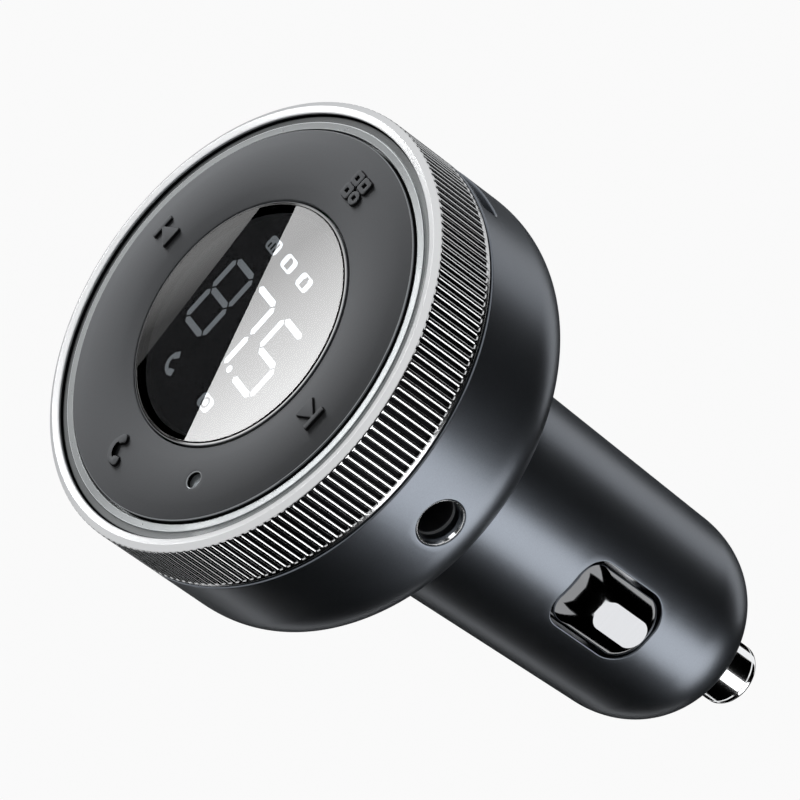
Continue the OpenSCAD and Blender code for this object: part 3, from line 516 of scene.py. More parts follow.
def light_plastic(name, colour):
    """Silvered translucent plastic of the light ring: a pale band, a bright line at its step, which
    is a painted highlight, and a darker channel outside, all painted paler towards the +X side as
    if lit from there."""
    f = Finish(name, ior=1.49, metallic=0.7, coat_weight=0.2)
    r = f.radius()
    x, _, _ = f.axes()
    # Painted light: the ring's colour grows up to 2.8 times paler towards +X.
    side = 1.0 + (x / LIGHT_R).clamp() * 1.8
    channel = r.step(LIGHT_R - 0.62 * MM, LIGHT_R - 0.58 * MM)
    # Painted highlight: a bright line of colour just inside the step.
    line = r.step(LIGHT_R - 0.72 * MM, LIGHT_R - 0.69 * MM) * (1.0 - channel)
    grain = f.noise(1800.0, 2.0)
    f.set(
        base_color=f.mix(
            f.mix((0.0, 0.0, 0.0), colour, (side * (1.0 - channel * 0.5) * 0.3).clamp()),
            lighter(colour, 1.3), (line - grain * 0.1).clamp()),
        roughness=(0.26 + channel * 0.1 + grain * 0.05).clamp())
    return f.material


def lit_symbols(name, colour, strength):
    """Lit symbols of the display: a little uneven as their lamps are, and with painted light
    several times brighter to the right of a slanting line, where the window's reflection is bright
    too."""
    f = Finish(name, roughness=0.5, emission_strength=strength)
    spread = f.noise(420.0, 2.0)
    x, _, z = f.axes()
    # Distance from the slanting line, which leans 26 degrees from upright
    across = x * 0.8976 + z * 0.4409 + 0.79 * MM
    # Painted light: the symbols glow several times brighter right of the line, matching the
    # window's bright reflection.
    side = across.step(-0.1 * MM, 0.15 * MM)
    dim = f.mix(lighter(colour, 0.12), lighter(colour, 0.16), spread)
    f.set(
        base_color=f.mix(lighter(colour, 0.3), lighter(colour, 0.4), spread),
        emission_color=f.mix(dim, colour, side))
    return f.material


def make_finishes(colours, studio):
    """The finish of each of the record's material slots, by the slot's name."""
    chrome = tuple(colours.chrome)
    return {
        "shell_metal": satin_metal("satin_gunmetal", tuple(colours.body)),
        "chrome": polished_metal("polished_chrome", chrome),
        "dark_chrome": polished_metal("black_nickel", tuple(colours.nickel), 0.06),
        "face_plastic": symbol_plastic(
            "symbol_grey", tuple(colours.plate), SYMBOL_TOP + 0.04 * MM),
        "frame_plastic": moulded("moulded_black", (0.028, 0.028, 0.030)),
        "white_plastic": moulded("moulded_white", (0.74, 0.74, 0.71), 0.42),
        "pale_cover": moulded("pale_mesh", (0.32, 0.35, 0.37), 0.55, 0.02),
        "light_plastic": light_plastic("milky_light_ring", tuple(colours.light_ring)),
        "lit_plastic": lit_symbols("lit_display", tuple(colours.lit), studio.display),
        "window_glass": window_glass("dark_window", tuple(colours.glass)),
        "black_film": moulded("black_film", (0.003, 0.003, 0.003), 0.7, 0.002, 0.0),
        "rubber": moulded("rubber_pad", (0.035, 0.037, 0.037), 0.75, 0.02),
        "magnet": moulded("bonded_magnet", (0.05, 0.048, 0.046), 0.6, 0.02),
        "board_green": circuit_board("green_board", (0.012, 0.085, 0.035)),
        "chip_black": moulded("chip_black", (0.018, 0.018, 0.019), 0.55),
        "board_blue": circuit_board("blue_board", (0.012, 0.03, 0.13)),
        "ferrite": moulded("ferrite", (0.07, 0.068, 0.066), 0.7, 0.03),
        "can": brushed_metal("sleeved_can", (0.06, 0.075, 0.2), 0.4),
        "steel": brushed_metal("bright_steel", (0.62, 0.63, 0.64)),
        "gold": brushed_metal("plated_gold", (0.80, 0.60, 0.25), 0.22),
    }


# Surface helpers


class Skin:
    """Grids of points that become one mesh."""

    def __init__(self):
        self.points, self.faces, self.count = [], [], 0

    def grid(self, points, close_rows=False, close_columns=False, holes=()):
        """Quads between neighbouring rows and columns, left out inside each hole, a rectangle
        of rows and columns. Returns the index of every point."""
        index = self.count + np.arange(points[..., 0].size).reshape(points.shape[:2])
        self.points.append(points.reshape(-1, 3))
        self.count += index.size
        around = index
        if close_rows:
            around = np.vstack([around, around[:1]])
        if close_columns:
            around = np.hstack([around, around[:, :1]])
        quads = np.stack([around[:-1, :-1], around[:-1, 1:], around[1:, 1:], around[1:, :-1]], -1)
        keep = np.ones(quads.shape[:2], bool)
        for first_row, last_row, first, last in holes:
            keep[first_row:last_row, first:last] = False
        self.faces += quads[keep].tolist()
        return index

    def cap(self, loop):
        """One flat face inside a loop of point indices."""
        self.faces.append([int(i) for i in loop])

    def piece(self, name, finish, body, sharp=38.0):
        """Makes the mesh: doubles merged, normals outwards, edges over the angle left sharp."""
        mesh = bpy.data.meshes.new(name)
        mesh.from_pydata(np.concatenate(self.points).tolist(), [], self.faces)
        made = bmesh.new()
        made.from_mesh(mesh)
        bmesh.ops.remove_doubles(made, verts=made.verts, dist=1e-7)
        bmesh.ops.dissolve_degenerate(made, edges=made.edges, dist=1e-8)
        bmesh.ops.recalc_face_normals(made, faces=made.faces)
        made.to_mesh(mesh)
        made.free()
        mesh.shade_smooth()
        mesh.set_sharp_from_angle(angle=math.radians(sharp))
        mesh.materials.append(finish)
        obj = bpy.data.objects.new(name, mesh)
        bpy.context.scene.collection.objects.link(obj)
        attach(obj, body)
        return obj


def rounded(corners, radii, steps=5, closed=True, support=0.5):
    """Each corner of the line becomes an arc of its radius. The arc's centre is on the corner's
    bisector at radius / sin(half angle), and its points turn evenly from one side to the other.
    A support point stands on each side, a share of the radius past the arc's ends."""
    p = np.asarray(corners, float)
    radii = np.broadcast_to(np.asarray(radii, float), (len(p),)).copy()
    if not closed:
        radii[[0, -1]] = 0.0
    a, b = np.roll(p, 1, 0) - p, np.roll(p, -1, 0) - p
    a /= np.linalg.norm(a, axis=1, keepdims=True)
    b /= np.linalg.norm(b, axis=1, keepdims=True)
    half = np.arccos(np.clip((a * b).sum(1), -1, 1)) / 2
    radii[half > math.radians(89.5)] = 0.0
    half = np.clip(half, math.radians(2), math.radians(88))
    run = (radii / np.tan(half))[:, None]
    middle = (a + b) / np.maximum(np.linalg.norm(a + b, axis=1, keepdims=True), 1e-9)
    centre = p + middle * (radii / np.sin(half))[:, None]
    start, end = p + a * run - centre, p + b * run - centre
    turn = (math.pi - 2 * half)[:, None, None]
    s = np.linspace(0, 1, steps + 1)[None, :, None]
    arc = centre[:, None] + (
        np.sin((1 - s) * turn) * start[:, None] + np.sin(s * turn) * end[:, None]) / np.sin(turn)
    past = (support * radii)[:, None]
    before, after = p + a * (run + past), p + b * (run + past)
    points = np.concatenate([before[:, None], arc, after[:, None]], 1)
    plain = radii == 0
    points[plain] = p[plain][:, None]
    return thinned(points.reshape(-1, 2), closed)


def thinned(points, closed=True):
    """The line without its repeated points."""
    step = np.linalg.norm(points - np.roll(points, 1, 0), axis=1) > 1e-8
    if not closed:
        step[0] = True
    return points[step]


def turned(skin, profile, columns, closed=True):
    """Carries a profile of (radius, y) points round the Y axis: (r cos a, y, r sin a)."""
    a = np.linspace(0, 2 * math.pi, columns, endpoint=False)[None, :]
    r, y = profile[:, :1], profile[:, 1:]
    points = np.stack([r * np.cos(a), np.broadcast_to(y, (len(r), columns)), r * np.sin(a)], -1)
    skin.grid(points, close_rows=closed, close_columns=True)


def corner_curve(r0, y0, r1, y1, power, angles):
    """Superellipse quarter: r = r1 + (r0 - r1) cos(a)^(2/n), y = y0 + (y1 - y0) sin(a)^(2/n)."""
    c, s = np.clip(np.cos(angles), 0, 1), np.clip(np.sin(angles), 0, 1)
    return np.stack([r1 + (r0 - r1) * c ** (2 / power), y0 + (y1 - y0) * s ** (2 / power)], -1)


def side_outline(half_u, half_v, corner, count_u, count_v):
    """A rounded rectangle as four runs of points, each from the middle of one corner to the
    middle of the next and evenly spaced. Returns (u, v) points, counts by side."""
    def side(half_along, half_off, count):
        """One side from corner to corner, by the length gone along it."""
        flat = half_along - corner
        whole = 2 * flat + corner * math.pi / 2
        t = np.linspace(-whole / 2, whole / 2, count, endpoint=False)
        turn = np.maximum(np.abs(t) - flat, 0) / corner
        along = np.where(np.abs(t) <= flat, t, np.sign(t) * (flat + corner * np.sin(turn)))
        return along, half_off - corner + corner * np.cos(turn)

    u, v = side(half_u, half_v, count_u)
    w, x = side(half_v, half_u, count_v)
    return np.concatenate([
        np.stack([u, -v], -1), np.stack([x, w], -1), np.stack([-u, v], -1), np.stack([-x, -w], -1)])


def border(columns, rows, j0, j1, i0, i1):
    """The rectangle's own grid points in the same order as side_outline's: (column, row)."""
    return np.concatenate([
        np.stack([columns[j0:j1], np.full(j1 - j0, rows[i0])], -1),
        np.stack([np.full(i1 - i0, columns[j1]), rows[i0:i1]], -1),
        np.stack([columns[j1:j0:-1], np.full(j1 - j0, rows[i1])], -1),
        np.stack([np.full(i1 - i0, columns[j0]), rows[i1:i0:-1]], -1)])


class Opening:
    """A rounded opening in the side of a turned shell, at an angle and a place along Y."""

    # How far outside the opening the shell's own grid ends
    MARGIN = 0.9 * MM

    def __init__(self, angle, y, width, length, corner, edge=0.12 * MM):
        self.angle, self.y = math.radians(angle), y
        self.half = (width / 2, length / 2)
        self.corner, self.edge = corner, edge

    def rectangle(self, angles, rows, r):
        """Columns and rows of the grid that stand just clear of the opening."""
        wide = (self.half[0] + self.edge + self.MARGIN) / r
        tall = self.half[1] + self.edge + self.MARGIN
        j0 = int(np.searchsorted(angles, self.angle - wide)) - 1
        j1 = int(np.searchsorted(angles, self.angle + wide))
        i0 = int(np.searchsorted(rows, self.y - tall)) - 1
        i1 = int(np.searchsorted(rows, self.y + tall))
        return i0, i1, j0, j1

    def outline(self, grown, count_u, count_v):
        """The opening's outline as (across, y) points, grown outwards by a distance."""
        points = side_outline(
            self.half[0] + grown, self.half[1] + grown, self.corner + grown, count_u, count_v)
        return points[:, 0], self.y + points[:, 1]

    def on_layer(self, layer, across, y):
        """Angle and forward distance at which the layer is across from the opening's middle."""
        angle = np.full_like(y, self.angle)
        for _ in range(6):
            angle = self.angle + np.arcsin(np.clip(across / layer(angle, y), -1, 1))
        return angle, layer(angle, y) * np.cos(angle - self.angle)

    def carried(self, forward, y, across):
        """A point forward of the axis towards the opening and across from it."""
        c, s = math.cos(self.angle), math.sin(self.angle)
        return np.stack([forward * c - across * s, y, forward * s + across * c], -1)


def cylinder_points(angle, y, r):
    """Points round the Y axis: (r cos a, y, r sin a)."""
    return np.stack([r * np.cos(angle), y, r * np.sin(angle)], -1)


def fill_opening(skin, hole, rectangle, angles, rows, layer, grown):
    """Rows of points between a rectangle of the grid and the opening's outline on the layer."""
    i0, i1, j0, j1 = rectangle
    outer = border(angles, rows, j0, j1, i0, i1)
    across, y = hole.outline(grown, j1 - j0, i1 - i0)
    angle, _ = hole.on_layer(layer, across, y)
    inner = np.stack([angle, y], -1)
    t = np.linspace(0, 1, 5)[:, None, None]
    both = outer * (1 - t) + inner * t
    points = cylinder_points(both[..., 0], both[..., 1], layer(both[..., 0], both[..., 1]))
    skin.grid(points, close_columns=True)


def line_opening(skin, hole, counts, outer_layer, inner_layer):
    """The opening's rounded outer edge and its wall down to the inner layer. At a turn t the
    edge has moved out by e (1 - sin t) and in from the surface by e (1 - cos t)."""
    rows = []
    for turn in np.linspace(0, math.pi / 2, 6):
        across, y = hole.outline(hole.edge * (1 - math.sin(turn)), *counts)
        _, forward = hole.on_layer(outer_layer, across, y)
        rows.append(hole.carried(forward - hole.edge * (1 - math.cos(turn)), y, across))
    across, y = hole.outline(0.0, *counts)
    _, forward = hole.on_layer(inner_layer, across, y)
    wall = hole.carried(forward, y, across)
    rows += [rows[-1] * 0.92 + wall * 0.08, wall]
    skin.grid(np.stack(rows), close_columns=True)


def opened_shell(skin, layers, angles, openings):
    """A turned shell with rounded openings through its outer and inner layers. A layer is its
    profile, the profile's first and last row that run steadily along Y, and its radius as a
    function of angle and y. Each grid leaves a rectangle out round an opening, and rows that
    blend from the rectangle to the opening's outline fill it."""
    least = min(float(profile[side[0], 0]) for profile, side, _ in layers)
    for (profile, (start, stop), layer), outside in zip(layers, (True, False)):
        rows = profile[:, 1]
        rectangles = []
        for hole in openings:
            i0, i1, j0, j1 = hole.rectangle(angles, rows[start:stop], least)
            rectangles.append((i0 + start, i1 + start, j0, j1))
            fill_opening(
                skin, hole, rectangles[-1], angles, rows, layer, hole.edge if outside else 0.0)
            if outside:
                line_opening(skin, hole, (j1 - j0, i1 - i0), layer, layers[1][2])
        a, y = np.meshgrid(angles, rows)
        r = np.broadcast_to(profile[:, :1], a.shape).copy()
        r[start:stop] = layer(a[start:stop], y[start:stop])
        skin.grid(cylinder_points(a, y, r), close_columns=True, holes=rectangles)


def shell_angles(s):
    """Angles of a shell's columns, which start between the openings."""
    return np.linspace(0, 2 * math.pi, s.columns, endpoint=False) - math.pi / 3


def raised(skin, outline, hole, front, surface, edge, place):
    """A raised symbol: a thin foot on the plate's surface, then walls up to the front with a
    rounded top edge, drawn inwards by e (1 - cos t) as it rises by e sin t, then a flat top.
    With a hole its walls go down too. The surface gives the place along Y at a radius."""
    def inset(line, distance):
        """The line moved inwards along the sum of its neighbouring sides' normals."""
        ahead = np.roll(line, -1, 0) - line
        behind = line - np.roll(line, 1, 0)
        normal = ahead / np.linalg.norm(ahead, axis=1, keepdims=True) + behind / np.linalg.norm(
            behind, axis=1, keepdims=True)
        normal = np.stack([-normal[:, 1], normal[:, 0]], -1)
        return line + normal / np.linalg.norm(normal, axis=1, keepdims=True) * distance

    def walls(line, sign):
        """Rows of points from the foot to the top edge, of the outline or of the hole."""
        at = surface(np.hypot(line[:, 0] + place[0], line[:, 1] + place[1]))
        # The foot lies behind the top edge, so the symbols' finish paints it nearly black as a
        # shadow round the symbol.
        foot = inset(line, -FOOT if sign > 0 else 0.0)
        rows = [(foot, at + 0.1 * MM), (foot, at - 0.012 * MM), (line, at - 0.02 * MM)]
        for turn in np.linspace(0, math.pi / 2, 4):
            rows.append((
                inset(line, sign * edge * (1 - math.cos(turn))),
                np.full(len(line), front + edge * (1 - math.sin(turn)))))
        return np.stack([
            np.stack([p[:, 0] + place[0], y, p[:, 1] + place[1]], -1) for p, y in rows])

    outside = walls(outline, 1.0)
    if hole is None:
        index = skin.grid(outside, close_columns=True)
        skin.cap(index[-1])
    else:
        inside = walls(hole, -1.0)[::-1]
        skin.grid(np.concatenate([outside, inside]), close_columns=True)


def even_line(points, step):
    """Points every step along a closed line of corners, the corners kept."""
    ahead = np.roll(points, -1, 0)
    counts = np.maximum(1, np.ceil(np.linalg.norm(ahead - points, axis=1) / step).astype(int))
    which = np.repeat(np.arange(len(points)), counts)
    first = np.repeat(np.cumsum(counts) - counts, counts)
    t = ((np.arange(counts.sum()) - first) / counts[which])[:, None]
    return points[which] * (1 - t) + ahead[which] * t


# Pieces


def make_head_shell(s, finish):
    """Deep cup with a rounded back and rounded openings for the sockets. Its back is a
    superellipse: r = r1 + (r0 - r1) (1 - t^n)^(1/n), t from 0 to 1 along Y."""
    front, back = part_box("glide_washer")[1].y, 0.0
    start, floor = -s.back_length, back - s.floor
    cup, end_in = s.head_radius - s.head_wall, FLANGE_R + 0.4 * MM
    neck = NECK_R + CLEAR
    power = 2.34  # n of the superellipse
    lip = rounded(
        [(cup, front), (s.head_radius, front), (s.head_radius, start)], [0, s.soft_edge, 0], 5,
        False)[:-1]
    side_y = np.arange(lip[-1, 1] + 0.3 * MM, start + 3.3 * MM, 0.3 * MM)

    def back_curve(y, r0, r1, end):
        """Radius of the back's curve at places along Y."""
        t = np.clip((y - start) / (end - start), 0, 1)
        return r1 + (r0 - r1) * (1 - t ** power) ** (1 / power)

    def bend(r0, r1, end, count):
        """The curve's points past the side's last row, at even turns."""
        first = math.asin(((side_y[-1] - start) / (end - start)) ** (power / 2))
        return corner_curve(r0, start, r1, end, power, np.linspace(first, math.pi / 2, count)[1:])

    def outer_r(y):
        """Radius of the outer layer."""
        return back_curve(y, s.head_radius, s.back_flat, back)

    def inner_r(y):
        """Radius of the inner layer, away from the sockets."""
        return back_curve(y, cup, end_in, floor)

    bend_out = bend(s.head_radius, s.back_flat, back, 30)
    end = rounded(
        [(s.back_flat, back), (neck, back), (neck, floor)], [0, 0.12 * MM, 0], 4, False)[1:]
    outer = np.concatenate([lip, np.stack([outer_r(side_y), side_y], -1), bend_out, end])
    outer_side = (len(lip) - 1, len(lip) + len(side_y) + len(bend_out))

    bend_in = bend(cup, end_in, floor, 22)
    side_in = np.concatenate([[front], lip[-1:, 1], side_y])
    inner = np.concatenate([np.stack([inner_r(side_in), side_in], -1), bend_in, [(neck, floor)]])
    inner_side = (1, len(side_in) + len(bend_in))

    flats = []
    for node, angle in (("aux_jack", 0.0), *(socket[:2] for socket in SIDE_SOCKETS)):
        half, _, end_y = across_box(node, angle)
        flats.append((math.radians(angle), half + CLEAR, end_y + CLEAR))
    flat = cup - 0.1 * MM

    def inner_layer(angle, y):
        """The inner layer, cut back to a flat behind each socket."""
        r = inner_r(y)
        for middle, half, end_y in flats:
            off = np.clip(np.abs(angle - middle), 0, 1.2)
            inside = (flat * np.tan(off) <= half) & (y <= end_y)
            r = np.where(inside, np.maximum(r, flat / np.cos(off)), r)
        return r

    openings = [
        Opening(0.0, socket_y("aux_rim", 0.0), AUX_HOLE, AUX_HOLE, AUX_HOLE / 2 - 1e-6, 0.1 * MM)]
    openings += [
        Opening(angle, socket_y(node, angle), width, length, 0.4 * MM)
        for node, angle, width, length in SIDE_SOCKETS]
    skin = Skin()
    opened_shell(
        skin, ((outer, outer_side, lambda a, y: outer_r(y)), (inner, inner_side, inner_layer)),
        shell_angles(s), openings)
    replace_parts(skin.piece("satin_head", finish, "housing"), "head_shell")


def make_barrel_shell(s, finish):
    """Drafted tube with a flange inside the head, two side windows and a rounded nose. Past its
    straight land the radius changes in step with the length."""
    land_end, nose_start = s.land, s.barrel_length
    nose_r, hole_r = 3.69 * MM, s.tip_radius + 0.08 * MM
    power = 2.07  # n of the nose's superellipse
    floor = -s.floor
    draft = (s.barrel_end - s.plug_radius) / (nose_start - land_end)

    def outer_r(y):
        """Radius of the outer layer."""
        return s.plug_radius + draft * np.clip(y - land_end, 0, nose_start - land_end)

    def rows_between(low, high, step):
        """Places along Y about a step apart, the last end left out."""
        count = max(1, int(round((high - low) / step)))
        return np.linspace(low, high, count, endpoint=False)

    window_low = s.contact_place - s.window_length / 2 - 1.4 * MM
    window_high = s.contact_place + s.window_length / 2 + 1.4 * MM
    steady = np.concatenate([
        rows_between(0.3 * MM, land_end - 0.5 * MM, 1.5 * MM),
        rows_between(land_end - 0.5 * MM, land_end + 1.5 * MM, 0.5 * MM),
        rows_between(land_end + 1.5 * MM, window_low, 1.5 * MM),
        rows_between(window_low, window_high, 0.4 * MM),
        rows_between(window_high, nose_start, 0.6 * MM)])
    head = rounded(
        [(BARREL_BORE, FLANGE_FRONT), (FLANGE_R, FLANGE_FRONT), (FLANGE_R, floor),
         (NECK_R, floor), (NECK_R, 0.0), (s.plug_radius, 0.0), (s.plug_radius, 0.3 * MM)],
        [0, 0.1 * MM, 0, 0, 0, 0, 0], 3, False)[:-1]
    nose = corner_curve(
        s.barrel_end, nose_start, nose_r, NOSE_END, power, np.linspace(0, math.pi / 2, 40))
    mouth = rounded(
        [nose[-2], (nose_r, NOSE_END), (hole_r, NOSE_END), (hole_r, NOSE_IN)],
        [0, 0, 0.12 * MM, 0], 4, False)[1:]
    outer = np.concatenate([head, np.stack([outer_r(steady), steady], -1), nose[:-1], mouth])
    outer_side = (len(head), len(head) + len(steady))
    inner_nose = corner_curve(
        s.barrel_end - s.barrel_wall, nose_start, hole_r, NOSE_IN, power,
        np.linspace(0, math.pi / 2, 16))
    inner = np.concatenate([
        [(BARREL_BORE, FLANGE_FRONT)],
        np.stack([outer_r(steady) - s.barrel_wall, steady], -1), inner_nose])
    inner_side = (1, 1 + len(steady))
    openings = [
        Opening(angle, s.contact_place, s.window_width, s.window_length, 2.5 * MM, 0.14 * MM)
        for angle in (0.0, 180.0)]
    skin = Skin()
    opened_shell(skin, (
        (outer, outer_side, lambda a, y: outer_r(y)),
        (inner, inner_side, lambda a, y: outer_r(y) - s.barrel_wall)), shell_angles(s), openings)
    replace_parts(skin.piece("satin_barrel", finish, "housing"), "barrel_shell")


def make_volume_ring(s, finish):
    """Chrome ring: a closed section carried round, its band lowered between the ridges.
    The radius at a phase of the pitch is R - depth * fall(phase) * rise(y)."""
    R, bevel = s.head_radius, s.bevel_in
    front, band_end = FACE_Y + s.knurl_start, RING_BACK - s.knurl_trim
    lip = rounded(
        [(bevel, RING_SHOULDER), (bevel, FACE_Y + 0.12 * MM), (bevel + 0.61 * MM, FACE_Y),
         (R, front)],
        [0, 0.1 * MM, 0.12 * MM, 0.0], 4, False)
    lip = np.concatenate([lip[:-1], rounded(
        [lip[-2], (R, front), (R, front + 0.4 * MM)], [0, 0.3 * MM, 0], 6, False, 0.0)[1:-1]])
    band = np.concatenate([
        front + np.array([0.2, 0.26, 0.33, 0.4, 0.5]) * MM,
        np.linspace(front + 0.9 * MM, band_end - 0.7 * MM, 6),
        band_end - np.array([0.35, 0.24, 0.16, 0.1, 0.05, 0.0]) * MM])
    trim = rounded(
        [(R, band_end), (R, RING_BACK), (RING_BORE, RING_BACK)], [0, 0.06 * MM, 0], 3, False)
    magnet_low, magnet_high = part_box("ring_magnet")
    groove = RING_BORE + 0.45 * MM
    bore = np.array([
        (RING_BORE, magnet_high.y + CLEAR), (groove, magnet_high.y + CLEAR),
        (groove, magnet_low.y - CLEAR), (RING_BORE, magnet_low.y - CLEAR),
        (RING_BORE, RING_SHOULDER)])
    profile = np.concatenate([lip, np.stack([np.full(len(band), R), band], -1), trim[1:], bore])
    # Columns of one pitch: their places, how deep they lie and how late their groove begins
    shares = np.array([-0.15, 0.0, 0.15, 0.2, 0.27, 0.38, 0.5, 0.62, 0.73, 0.8])
    fall = np.tile([1.0, 1.0, 1.0, 0.42, 0.17, 0.04, 0.0, 0.04, 0.17, 0.42], s.teeth)[None]
    late = np.tile([0.0, 0.0, 0.0, 0.4, 0.7, 1.0, 1.0, 1.0, 0.7, 0.4], s.teeth)[None]
    a = (np.repeat(np.arange(s.teeth), len(shares)) + 0.5 + np.tile(shares, s.teeth)) * (
        2 * math.pi / s.teeth)
    y = profile[:, 1:]
    begin = front - 0.02 * MM + late * 0.12 * MM
    rise = np.clip((y - begin) / (0.2 * MM), 0, 1) * np.clip((band_end - y) / (0.2 * MM), 0, 1)
    rise = rise * rise * (3 - 2 * rise)
    rise = np.where(profile[:, :1] > R - 0.12 * MM, rise, 0.0)
    r = profile[:, :1] - rise * s.knurl_depth * fall
    skin = Skin()
    skin.grid(
        cylinder_points(np.broadcast_to(a, r.shape), np.broadcast_to(y, r.shape), r), True, True)
    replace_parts(skin.piece("knurled_ring", finish, "ring", 30.0), "volume_ring")


def plate_surface(s, r):
    """Place along Y of the key plate's crowned face at a radius: front - h (1 - (2 t - 1)^2),
    t from 0 to 1 across the plate."""
    t = np.clip((r - PLATE_IN) / (PLATE_OUT - PLATE_IN), 0, 1)
    return FACE_Y + s.plate_front - s.plate_crown * (1 - (2 * t - 1) ** 2)


def make_key_plate(s, finish):
    """Annular plate with rounded polished edges and a round microphone hole. The front and the
    back are grids of radius and angle, and rows that blend into the hole's outline fill a
    rectangle left out of each."""
    front, e, shoulder = FACE_Y + s.plate_front, s.plate_edge, 1.2 * MM
    # The columns start away from the microphone hole
    angles = np.linspace(0, 2 * math.pi, s.columns, endpoint=False) - math.pi * 0.75
    walls_in = rounded(
        [(PLATE_IN, PLATE_BACK), (PLATE_IN, front), (PLATE_IN + shoulder, front)], [0, e, 0], 4,
        False)
    walls_out = rounded(
        [(PLATE_OUT - shoulder, front), (PLATE_OUT, front), (PLATE_OUT, PLATE_BACK)], [0, e, 0],
        4, False)
    face_r = np.arange(PLATE_IN + shoulder, PLATE_OUT - shoulder, 0.3 * MM)[1:]
    top = np.concatenate([walls_in, np.stack([face_r, np.full(len(face_r), front)], -1), walls_out])
    top[:, 1] += (plate_surface(s, top[:, 0]) - front) * (top[:, 1] < front + e)
    low_r = np.concatenate([[PLATE_IN], face_r, [PLATE_OUT]])
    hole_r, hole_angle, rim = MIC_RING, math.radians(MIC_ANGLE), s.mic_radius

    def hole_outline(grown, counts):
        """The hole's outline, grown outwards: (along the circle, away from the axis)."""
        half = rim + grown
        return side_outline(half, half, half - 1e-7, *counts)

    def flat_back(r):
        """Place along Y of the plate's back."""
        return np.full(r.shape, PLATE_BACK)

    skin = Skin()
    for rows, heights, place, grown in (
            (top[:, 0], top[:, 1], lambda r: plate_surface(s, r), MIC_EDGE),
            (low_r, flat_back(low_r), flat_back, 0.0)):
        a, r = np.meshgrid(angles, rows)
        wide = (rim + 0.8 * MM) / hole_r
        j0 = int(np.searchsorted(angles, hole_angle - wide)) - 1
        j1 = int(np.searchsorted(angles, hole_angle + wide))
        i0 = int(np.searchsorted(rows, hole_r - rim - 0.7 * MM)) - 1
        i1 = int(np.searchsorted(rows, hole_r + rim + 0.7 * MM))
        skin.grid(
            cylinder_points(a, np.broadcast_to(heights[:, None], a.shape), r),
            close_columns=True, holes=[(i0, i1, j0, j1)])
        counts = (j1 - j0, i1 - i0)
        uv = hole_outline(grown, counts)
        line = np.stack([
            hole_angle + np.arctan2(uv[:, 0], hole_r + uv[:, 1]),
            np.hypot(uv[:, 0], hole_r + uv[:, 1])], -1)
        t = np.linspace(0, 1, 4)[:, None, None]
        both = border(angles, rows, j0, j1, i0, i1) * (1 - t) + line * t
        skin.grid(
            cylinder_points(both[..., 0], place(both[..., 1]), both[..., 1]), close_columns=True)

    rows = []
    for turn in np.linspace(0, math.pi / 2, 4):
        uv = hole_outline(MIC_EDGE * (1 - math.sin(turn)), counts)
        depth = plate_surface(s, np.hypot(uv[:, 0], hole_r + uv[:, 1]))
        rows.append((uv, depth + MIC_EDGE * (1 - math.cos(turn))))
    rows.append((rows[-1][0], flat_back(rows[-1][1])))
    c, sn = math.cos(hole_angle), math.sin(hole_angle)
    skin.grid(np.stack([
        np.stack([
            (hole_r + uv[:, 1]) * c - uv[:, 0] * sn, y,
            (hole_r + uv[:, 1]) * sn + uv[:, 0] * c], -1)
        for uv, y in rows]), close_columns=True)
    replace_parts(skin.piece("grained_key_plate", finish, "keys"), "key_plate")


def make_key_symbols(s, finish):
    """Raised symbols on the plate: two skips, a menu of four tiles and a handset."""
    skin = Skin()

    def add(outline, hole, edge, place):
        """One raised outline at a place on the plate."""
        raised(skin, outline, hole, SYMBOL_TOP, lambda r: plate_surface(s, r), edge, place)

    half, bar = 1.075 * MM, 0.45 * MM
    inner = half - bar
    slope = half * (bar / 2) / (2 * half - bar / 2)
    skip = np.array([
        (-half, -half), (inner, -slope), (inner, -half), (half, -half), (half, half),
        (inner, half), (inner, slope), (-half, half)])
    radii = np.array([0.14, 0.04, 0.06, 0.08, 0.08, 0.06, 0.04, 0.14]) * MM
    line = even_line(rounded(skip, radii, 4, True, 0.0), 0.25 * MM)
    add(line, None, s.symbol_edge, (s.symbol_ring, 0.0))
    add((line * (-1, 1))[::-1], None, s.symbol_edge, (-s.symbol_ring, 0.0))
    pitch, tile, tile_hole = 0.65 * MM, 0.61 * MM, 0.21 * MM
    for x in (-1, 1):
        for z in (-1, 1):
            corner = tile - 1e-6 if x > 0 and z < 0 else 0.24 * MM
            add(
                side_outline(tile, tile, corner, 10, 10),
                side_outline(tile_hole, tile_hole, 0.05 * MM, 10, 10), 0.03 * MM,
                (x * pitch, s.symbol_ring + z * pitch))
    height, turn, shift = 2.8 * MM, 211.0, (0.15 * MM, 0.3 * MM)
    add(
        even_line(handset_line(height, turn), 0.2 * MM), None, s.symbol_edge,
        (shift[0], shift[1] - s.symbol_ring))
    skin.piece("key_symbols", finish, "keys")


